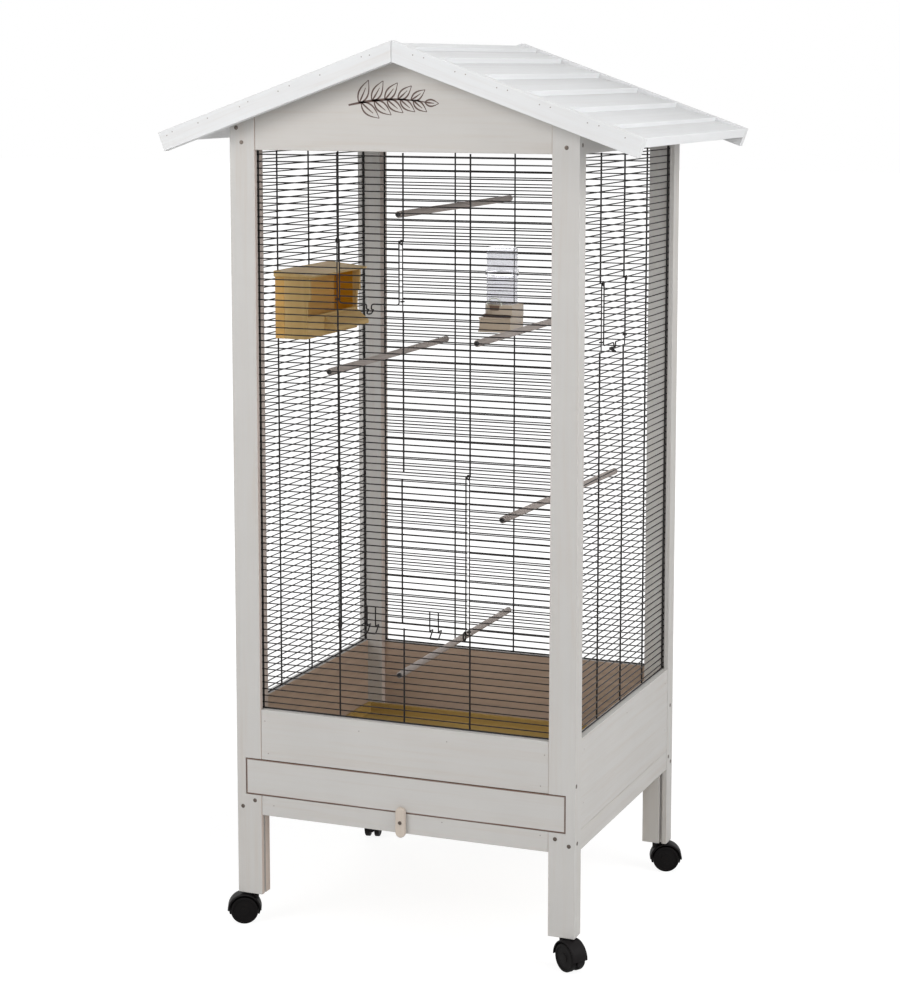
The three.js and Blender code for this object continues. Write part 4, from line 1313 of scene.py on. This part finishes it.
# Places in millimetres: along the face from its middle, and above the posts' feet
FLOOR_TO_LEG = 58 * MM
POST_SCREWS = {
    "front": ((-307, 1372), (-297, 1347), (-309, 161), (-285, 174), (297, 1345), (284, 173), (309, 163)),
    "back": (
        (-303, 1370), (-299, 1346), (-307, 163), (-286, 173),
        (298, 1347), (305, 1370), (286, 172), (308, 162),
    ),
    "right": ((-271, 1349), (-280, 268), (-274, 166), (262, 171), (276, 158), (274, 1352), (269, 270)),
    "left": ((-272, 1351), (-278, 266), (-273, 168), (264, 169), (275, 160), (271, 1348), (270, 268)),
}
PANEL_NAILS = {
    "front": (
        (-264, 322), (-258, 263), (-81, 323), (85, 322), (264, 318), (257, 263),
        (-248, 168), (76, 177), (257, 176),
    ),
    "back": (
        (-262, 320), (-260, 262), (-84, 322), (83, 321), (262, 319), (259, 262),
        (-250, 170), (80, 176), (255, 174),
    ),
    "right": ((-238, 322), (-241, 228), (238, 320), (240, 229), (2, 324)),
    "left": ((-240, 321), (-239, 230), (239, 322), (241, 227), (-3, 323)),
}
# Distances from the ridge down the slope, and below the board's top edge, in millimetres
BARGEBOARD_NAILS = {
    "left": (45, 60, 142, 202, 225, 285, 303, 368, 388, 441, 453),
    "right": (45, 65, 125, 144, 203, 222, 282, 301, 369, 389, 437),
}
NAIL_DEPTHS = (9.9, 7.6, 10.4, 8.3)


class AVIARY_OT_drive_fasteners(bpy.types.Operator):
    """Drive the screws in the posts and the nails in panels and bargeboards"""

    bl_idname = "aviary.drive_fasteners"
    bl_label = "Drive fasteners"

    def execute(self, context):
        fittings = context.scene.aviary_fittings
        steel = shared("screw_steel", make_plastic, fittings.screw, roughness=0.35, metallic=0.9)
        dull = shared("nail_steel", make_plastic, fittings.nail, roughness=0.5, metallic=0.5)
        post_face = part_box("post_back_right")[1]
        panel_x, panel_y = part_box("lower_panel_right")[1].x, -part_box("lower_panel_front")[0].y
        screws, nails = Shape(), Shape()
        for side, places in POST_SCREWS.items():
            out = post_face.y if side in ENDS else post_face.x
            for along, height in places:
                place = self.spot(side, along, height, out)
                add_screw(screws, place, fittings.screw_diameter / 2, dome=0.5 * MM, slot_depth=0.42 * MM)
        for side, places in PANEL_NAILS.items():
            out = panel_y if side in ENDS else panel_x
            for along, height in places:
                self.add_nail(nails, self.spot(side, along, height, out), fittings.nail_diameter / 2)
        for slope, places in BARGEBOARD_NAILS.items():
            outwards = -1 if slope == "left" else 1
            for towards in ENDS:
                low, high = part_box(f"bargeboard_{towards}_{slope}")
                y = low.y if towards == "front" else high.y
                for index, along in enumerate(places):
                    down = NAIL_DEPTHS[index % len(NAIL_DEPTHS)]
                    x = outwards * (along * math.cos(ROOF_PITCH) - down * math.sin(ROOF_PITCH)) * MM
                    z = high.z - (along * math.sin(ROOF_PITCH) + down * math.cos(ROOF_PITCH)) * MM
                    self.add_nail(nails, facing(x, y, z, towards), fittings.nail_diameter / 2)
        make_piece("post_screws", screws, steel, "frame", sharp_angle=math.radians(30))
        make_piece("frame_nails", nails, dull, "frame", sharp_angle=math.radians(50))
        return {"FINISHED"}

    @staticmethod
    def spot(side, along, height, out):
        """The place of a fastener on one face, given in millimetres along and above the feet."""
        across = along * MM
        x, y = {
            "front": (across, -out), "back": (across, out), "right": (out, across), "left": (-out, across),
        }[side]
        return facing(x, y, height * MM + FLOOR_TO_LEG, side)

    @staticmethod
    def add_nail(shape, place, radius):
        """A low domed head."""
        proud, sink, edge_share, crown_share, top_share = 0.25 * MM, 0.1 * MM, 0.5, 0.6, 1.1
        head = [
            (0, -sink), (radius, -sink), (radius, proud * edge_share), (radius * crown_share, proud),
            (0, proud * top_share),
        ]
        shape.lathe(head, 12, place)


def leaf_outline(base, angle, size, width, steps=12):
    """Two edges and the midrib of a pointed leaf."""
    midrib_share, belly_power, bend_share = 0.72, 0.8, 0.06
    lines = []
    for side in (1, -1, 0):
        line = []
        for step in range(steps + 1):
            part = step / steps
            if side == 0 and part > midrib_share:
                break
            x = part * size
            z = side * width / 2 * math.sin(math.pi * part ** belly_power) + bend_share * size * part * part
            line.append((
                base[0] + x * math.cos(angle) - z * math.sin(angle),
                base[1] + x * math.sin(angle) + z * math.cos(angle),
            ))
        lines.append(line)
    return lines


def sprig_stem(part):
    """A point of the sprig's bowed stem in X and Z."""
    left, length, height, bow, drop = -94 * MM, 140 * MM, 1472 * MM, 16 * MM, 8 * MM
    start_share, sweep_share = 0.12, 0.62
    return left + length * part, height + bow * math.sin(math.pi * (start_share + sweep_share * part)) - drop


def sprig_heading(part):
    riser_light_share = 0.01
    (x0, z0), (x1, z1) = sprig_stem(part - riser_light_share), sprig_stem(part + riser_light_share)
    return math.atan2(z1 - z0, x1 - x0)


def sprig_lines():
    """Each line of the sprig with its width: the stem, the pairs of leaves and the leaf at the tip."""
    pairs, stem_steps, first_spread, spread_step = 5, 24, math.radians(52), math.radians(4)
    stem_width, leaf_width, first_size, size_step = 4.4 * MM, 2.9 * MM, 42 * MM, 2.8 * MM
    first_share, spacing_share, offset_share, broad_share, tip_share = 0.14, 0.17, 0.03, 0.42, 0.99
    tip_size, tip_width = 25 * MM, 11 * MM
    lines = [([sprig_stem(step / stem_steps) for step in range(stem_steps + 1)], stem_width)]
    leaves = []
    for index in range(pairs):
        part = first_share + spacing_share * index
        size = first_size - size_step * index
        for side in (1, -1):
            angle = sprig_heading(part) + side * (first_spread - spread_step * index)
            base = sprig_stem(part + offset_share * (side < 0))
            leaves += leaf_outline(base, angle, size, broad_share * size)
    leaves += leaf_outline(sprig_stem(1), sprig_heading(tip_share), tip_size, tip_width)
    return lines + [(line, leaf_width) for line in leaves]


class AVIARY_OT_draw_leaf_sprig(bpy.types.Operator):
    """Draw a plain leaf sprig on the front gable"""

    bl_idname = "aviary.draw_leaf_sprig"
    bl_label = "Draw leaf sprig"

    def execute(self, context):
        ink = shared("sprig_ink", make_plastic, context.scene.aviary_fittings.ink, roughness=0.7)
        least_share, start_share, proud = 0.45, 0.15, 0.12 * MM
        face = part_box("gable_panel_front")[0].y
        shape = Shape()
        for line, width in sprig_lines():
            last = len(line) - 1
            rows = []
            for index, (x, z) in enumerate(line):
                before, after = line[max(0, index - 1)], line[min(last, index + 1)]
                along = Vector((after[0] - before[0], after[1] - before[1])).normalized()
                swell = math.sin(math.pi * min(1, start_share + index / last))
                half = width / 2 * (least_share + (1 - least_share) * swell)
                dx, dz = -along.y * half, along.x * half
                rows.append([
                    (x - dx, face, z - dz), (x - dx, face - proud, z - dz),
                    (x + dx, face - proud, z + dz), (x + dx, face, z + dz),
                ])
            shape.grid(rows)
        make_piece("leaf_sprig", shape, ink, "frame")
        return {"FINISHED"}


# Casters, drawn with the stem on Z and the wheels trailing along +X


WHEEL_RADIUS = 25 * MM
CASTER_TRAIL = 18 * MM


def middle_of(name):
    """Middle of a node's box."""
    low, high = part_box(name)
    return (low + high) / 2


def add_hood(shape, place):
    """The shell over both wheels, its middle web, and the socket of the stem."""
    outer, skin, half, web, edge, steps = 30.5 * MM, 2 * MM, 15.5 * MM, 4 * MM, 2.6 * MM, 36
    inner = outer - skin
    section = [(half, inner)] + arc(edge, 0, QUARTER_TURN, 4, (half - edge, outer - edge))
    section += [(-across, radius) for across, radius in reversed(section)]
    closed = section + section[:1]
    rows = [
        [(CASTER_TRAIL + radius * x, across, WHEEL_RADIUS + radius * z) for across, radius in closed]
        for x, z in arc(1, 0, math.pi, steps)
    ]
    shape.grid(rows, place=place)
    corners = list(range(len(section)))
    shape.add(rows[0][:-1], [corners], place)
    shape.add(rows[-1][:-1], [corners[::-1]], place)
    below = math.radians(20)
    disc = arc(inner, -below, math.pi + 2 * below, steps, (CASTER_TRAIL, WHEEL_RADIUS))
    upright = place @ Matrix.Translation((0, web, 0)) @ Matrix.Rotation(QUARTER_TURN, 4, "X")
    shape.prism(disc, 0, 2 * web, upright)
    foot, top = 38 * MM, 54 * MM
    socket = [
        (0, foot), (7 * MM, foot), (8 * MM, foot + 4 * MM),
        (8 * MM, top - 1.2 * MM), (6.8 * MM, top), (0, top),
    ]
    shape.lathe(socket, 32, place)


def add_wheels(shape, place, hub, tread_round):
    """Both wheels. Their axle stops at the faces of the hood's web."""
    axle, axle_end, inner, outer = 3.5 * MM, 4.3 * MM, 4.8 * MM, 14.8 * MM
    radius, dish, groove = WHEEL_RADIUS, outer - 1.6 * MM, outer - 0.9 * MM
    corner = tread_round * 0.3
    profile = [
        (0, axle_end), (axle, axle_end), (axle, inner), (radius - 1 * MM, inner), (radius, inner + 1 * MM),
        (radius, outer - tread_round), (radius - corner, outer - corner), (radius - tread_round, outer),
        (radius - 4.6 * MM, outer), (radius - 5.4 * MM, outer - 1.3 * MM), (hub + 3 * MM, dish),
        (hub + 1.4 * MM, groove), (hub, groove), (hub, outer - 0.2 * MM), (hub - 1.4 * MM, outer),
        (0, outer),
    ]
    axis = place @ Matrix.Translation((CASTER_TRAIL, 0, radius))
    for turn in (QUARTER_TURN, -QUARTER_TURN):
        shape.lathe(profile, 48, axis @ Matrix.Rotation(turn, 4, "X"))


class AVIARY_OT_fit_casters(bpy.types.Operator):
    """Mould the hoods, wheels and stems of the four casters"""

    bl_idname = "aviary.fit_casters"
    bl_label = "Fit casters"

    def execute(self, context):
        casters = context.scene.aviary_casters
        nylon = shared("caster_hood_plastic", make_plastic, casters.hood, roughness=0.55, shine=0.12)
        rubber = shared("caster_wheel_rubber", make_plastic, casters.wheel, roughness=0.6, shine=0.1)
        steel = shared("caster_stem_steel", make_plastic, casters.stem, roughness=0.25, metallic=1.0)
        for corner in CORNERS:
            stem_axis = middle_of(f"post_{corner}")
            reach = middle_of(f"caster_wheels_{corner}") - stem_axis
            turn = math.atan2(reach.y, reach.x)
            place = Matrix.Translation((stem_axis.x, stem_axis.y, 0)) @ Matrix.Rotation(turn, 4, "Z")
            hood, wheels = Shape(), Shape()
            add_hood(hood, place)
            add_wheels(wheels, place, casters.hub_radius, casters.tread_round)
            housing = f"caster_housing_{corner}"
            make_piece(
                f"{housing}_hood", hood, nylon, f"caster_{corner}", [housing],
                sharp_angle=math.radians(35),
            )
            make_piece(
                f"caster_wheels_{corner}_pair", wheels, rubber, f"wheels_{corner}",
                [f"caster_wheels_{corner}"], sharp_angle=math.radians(35),
            )
            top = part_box(housing)[1].z
            stem = [
                (0, 53 * MM), (6.2 * MM, 53 * MM), (6.2 * MM, 55.6 * MM), (4.4 * MM, 56 * MM),
                (4.4 * MM, top - 1 * MM), (3.4 * MM, top), (0, top),
            ]
            make_piece(
                f"{housing}_stem", Shape().lathe(stem, 24, place), steel, f"caster_{corner}",
                sharp_angle=math.radians(35),
            )
        return {"FINISHED"}


# Floor, light and camera


SENSOR_WIDTH = 36
# Name, side, share of the side's power, size in metres and place
LAMPS = (
    ("Low key lamp", "front", 0.42, 2.2, (-2.2, -3.0, 1.7)),
    ("High key lamp", "front", 0.36, 1.6, (-1.2, -2.3, 2.7)),
    ("Front lamp", "front", 0.22, 1.6, (1.7, -3.0, 1.9)),
    ("Side lamp", "right", 0.73, 2.2, (3.0, -0.6, 2.4)),
    ("High side lamp", "right", 0.27, 1.6, (1.9, -0.6, 3.4)),
    ("Back lamp", "back", 1.0, 2.2, (-1.9, 3.0, 2.1)),
)
LAMP_AIM = Vector((0, 0, 1.1))


class AVIARY_OT_set_stage(bpy.types.Operator):
    """Lay the floor and set the light and the camera"""

    bl_idname = "aviary.set_stage"
    bl_label = "Set stage"

    def execute(self, context):
        stage = context.scene.aviary_stage
        self.lay_floor(stage)
        self.set_sky(context, stage)
        power = {"front": stage.key_power, "right": stage.side_power, "back": stage.back_power}
        for name, side, power_share, size, place in LAMPS:
            self.hang_lamp(name, power_share * power[side], size, Vector(place))
        camera = new_object("Camera", bpy.data.cameras.new("Camera"))
        camera.location = stage.camera_place
        camera.rotation_euler = (QUARTER_TURN - stage.camera_tilt, 0, stage.camera_turn)
        camera.data.lens = stage.focal_length
        camera.data.sensor_width = SENSOR_WIDTH
        camera.data.shift_y = stage.camera_shift
        context.scene.camera = camera
        context.scene.view_settings.view_transform = "Standard"
        return {"FINISHED"}

    @staticmethod
    def lay_floor(stage):
        """A white floor that keeps the shadow. Away from the lamps it glows more, so that it stays white."""
        paper_share, glow_share = 0.9, 0.8
        near, far, near_glow, far_glow = 0.7, 2.6, 1.13, 1.36
        half = stage.floor_size / 2
        mesh = bpy.data.meshes.new("Floor")
        corners = [(-half, -half, 0), (half, -half, 0), (half, half, 0), (-half, half, 0)]
        mesh.from_pydata(corners, [], [(0, 1, 2, 3)])
        new_object("Floor", mesh)
        material = bpy.data.materials.new("floor_paper")
        material.use_nodes = True
        tree = material.node_tree
        tree.nodes.clear()
        output = tree.nodes.new("ShaderNodeOutputMaterial")
        paper = tree.nodes.new("ShaderNodeBsdfDiffuse")
        paper.inputs["Color"].default_value = (*scaled(stage.floor, paper_share), 1)
        glow = tree.nodes.new("ShaderNodeEmission")
        glow.inputs["Color"].default_value = (*stage.floor, 1)
        away = tree.nodes.new("ShaderNodeVectorMath")
        away.operation = "LENGTH"
        tree.links.new(object_place(tree), away.inputs[0])
        glow_strength = spread(tree, away.outputs["Value"], near, far, near_glow, far_glow)
        tree.links.new(glow_strength, glow.inputs["Strength"])
        seen = AVIARY_OT_set_stage.seen_share(tree)
        mixed = tree.nodes.new("ShaderNodeMixShader")
        tree.links.new(calculate(tree, "MULTIPLY", seen, glow_share), mixed.inputs["Fac"])
        tree.links.new(paper.outputs["BSDF"], mixed.inputs[1])
        tree.links.new(glow.outputs["Emission"], mixed.inputs[2])
        tree.links.new(mixed.outputs["Shader"], output.inputs["Surface"])
        mesh.materials.append(material)

    @staticmethod
    def seen_share(tree):
        """1 for rays from the camera, from gloss and through glass, and 0 for rays that light the object."""
        path = tree.nodes.new("ShaderNodeLightPath")
        seen = calculate(tree, "MAXIMUM", path.outputs["Is Camera Ray"], path.outputs["Is Glossy Ray"])
        return calculate(tree, "MAXIMUM", seen, path.outputs["Is Transmission Ray"])

    @staticmethod
    def set_sky(context, stage):
        sky = bpy.data.worlds.new("Sky")
        context.scene.world = sky
        sky.use_nodes = True
        tree = sky.node_tree
        background = next(node for node in tree.nodes if node.type == "BACKGROUND")
        background.inputs["Color"].default_value = (*stage.floor, 1)
        seen = AVIARY_OT_set_stage.seen_share(tree)
        lighting = calculate(tree, "SUBTRACT", 1.0, seen)
        strength = calculate(tree, "ADD", seen, calculate(tree, "MULTIPLY", lighting, stage.sky_strength))
        tree.links.new(strength, background.inputs["Strength"])

    @staticmethod
    def hang_lamp(name, power, size, place):
        light = bpy.data.lights.new(name, "AREA")
        light.energy = power
        light.size = size
        lamp = new_object(name, light)
        lamp.location = place
        lamp.rotation_euler = (LAMP_AIM - place).to_track_quat("-Z", "Y").to_euler()


OPERATORS = (
    AVIARY_OT_dress_woodwork,
    AVIARY_OT_dress_drawer,
    AVIARY_OT_hang_wire_walls,
    AVIARY_OT_hang_doors,
    AVIARY_OT_lay_perches,
    AVIARY_OT_build_nest_box,
    AVIARY_OT_build_feeder,
    AVIARY_OT_fit_turn_button,
    AVIARY_OT_drive_fasteners,
    AVIARY_OT_draw_leaf_sprig,
    AVIARY_OT_fit_casters,
    AVIARY_OT_set_stage,
)
SETTINGS = {
    "aviary_wood": AviaryWood,
    "aviary_wire": AviaryWire,
    "aviary_fittings": AviaryFittings,
    "aviary_casters": AviaryCasters,
    "aviary_stage": AviaryStage,
}


class AVIARY_PT_build(bpy.types.Panel):
    """The aviary's pieces and their settings"""

    bl_idname = "AVIARY_PT_build"
    bl_label = "Bird aviary"
    bl_space_type = "VIEW_3D"
    bl_region_type = "UI"
    bl_category = "Aviary"

    def draw(self, context):
        for operator in OPERATORS:
            self.layout.operator(operator.bl_idname)
        for name in SETTINGS:
            settings = getattr(context.scene, name)
            box = self.layout.box()
            for key in settings.__annotations__:
                box.prop(settings, key)


def register():
    for settings in SETTINGS.values():
        bpy.utils.register_class(settings)
    for name, settings in SETTINGS.items():
        setattr(bpy.types.Scene, name, PointerProperty(type=settings))
    for operator in OPERATORS:
        bpy.utils.register_class(operator)
    bpy.utils.register_class(AVIARY_PT_build)


def unregister():
    bpy.utils.unregister_class(AVIARY_PT_build)
    for operator in reversed(OPERATORS):
        bpy.utils.unregister_class(operator)
    for name, settings in reversed(SETTINGS.items()):
        delattr(bpy.types.Scene, name)
        bpy.utils.unregister_class(settings)


def main():
    register()
    bpy.ops.aviary.dress_woodwork()
    bpy.ops.aviary.dress_drawer()
    bpy.ops.aviary.hang_wire_walls()
    bpy.ops.aviary.hang_doors()
    bpy.ops.aviary.lay_perches()
    bpy.ops.aviary.build_nest_box()
    bpy.ops.aviary.build_feeder()
    bpy.ops.aviary.fit_turn_button()
    bpy.ops.aviary.drive_fasteners()
    bpy.ops.aviary.draw_leaf_sprig()
    bpy.ops.aviary.fit_casters()
    bpy.ops.aviary.set_stage()


if __name__ == "__main__":
    main()
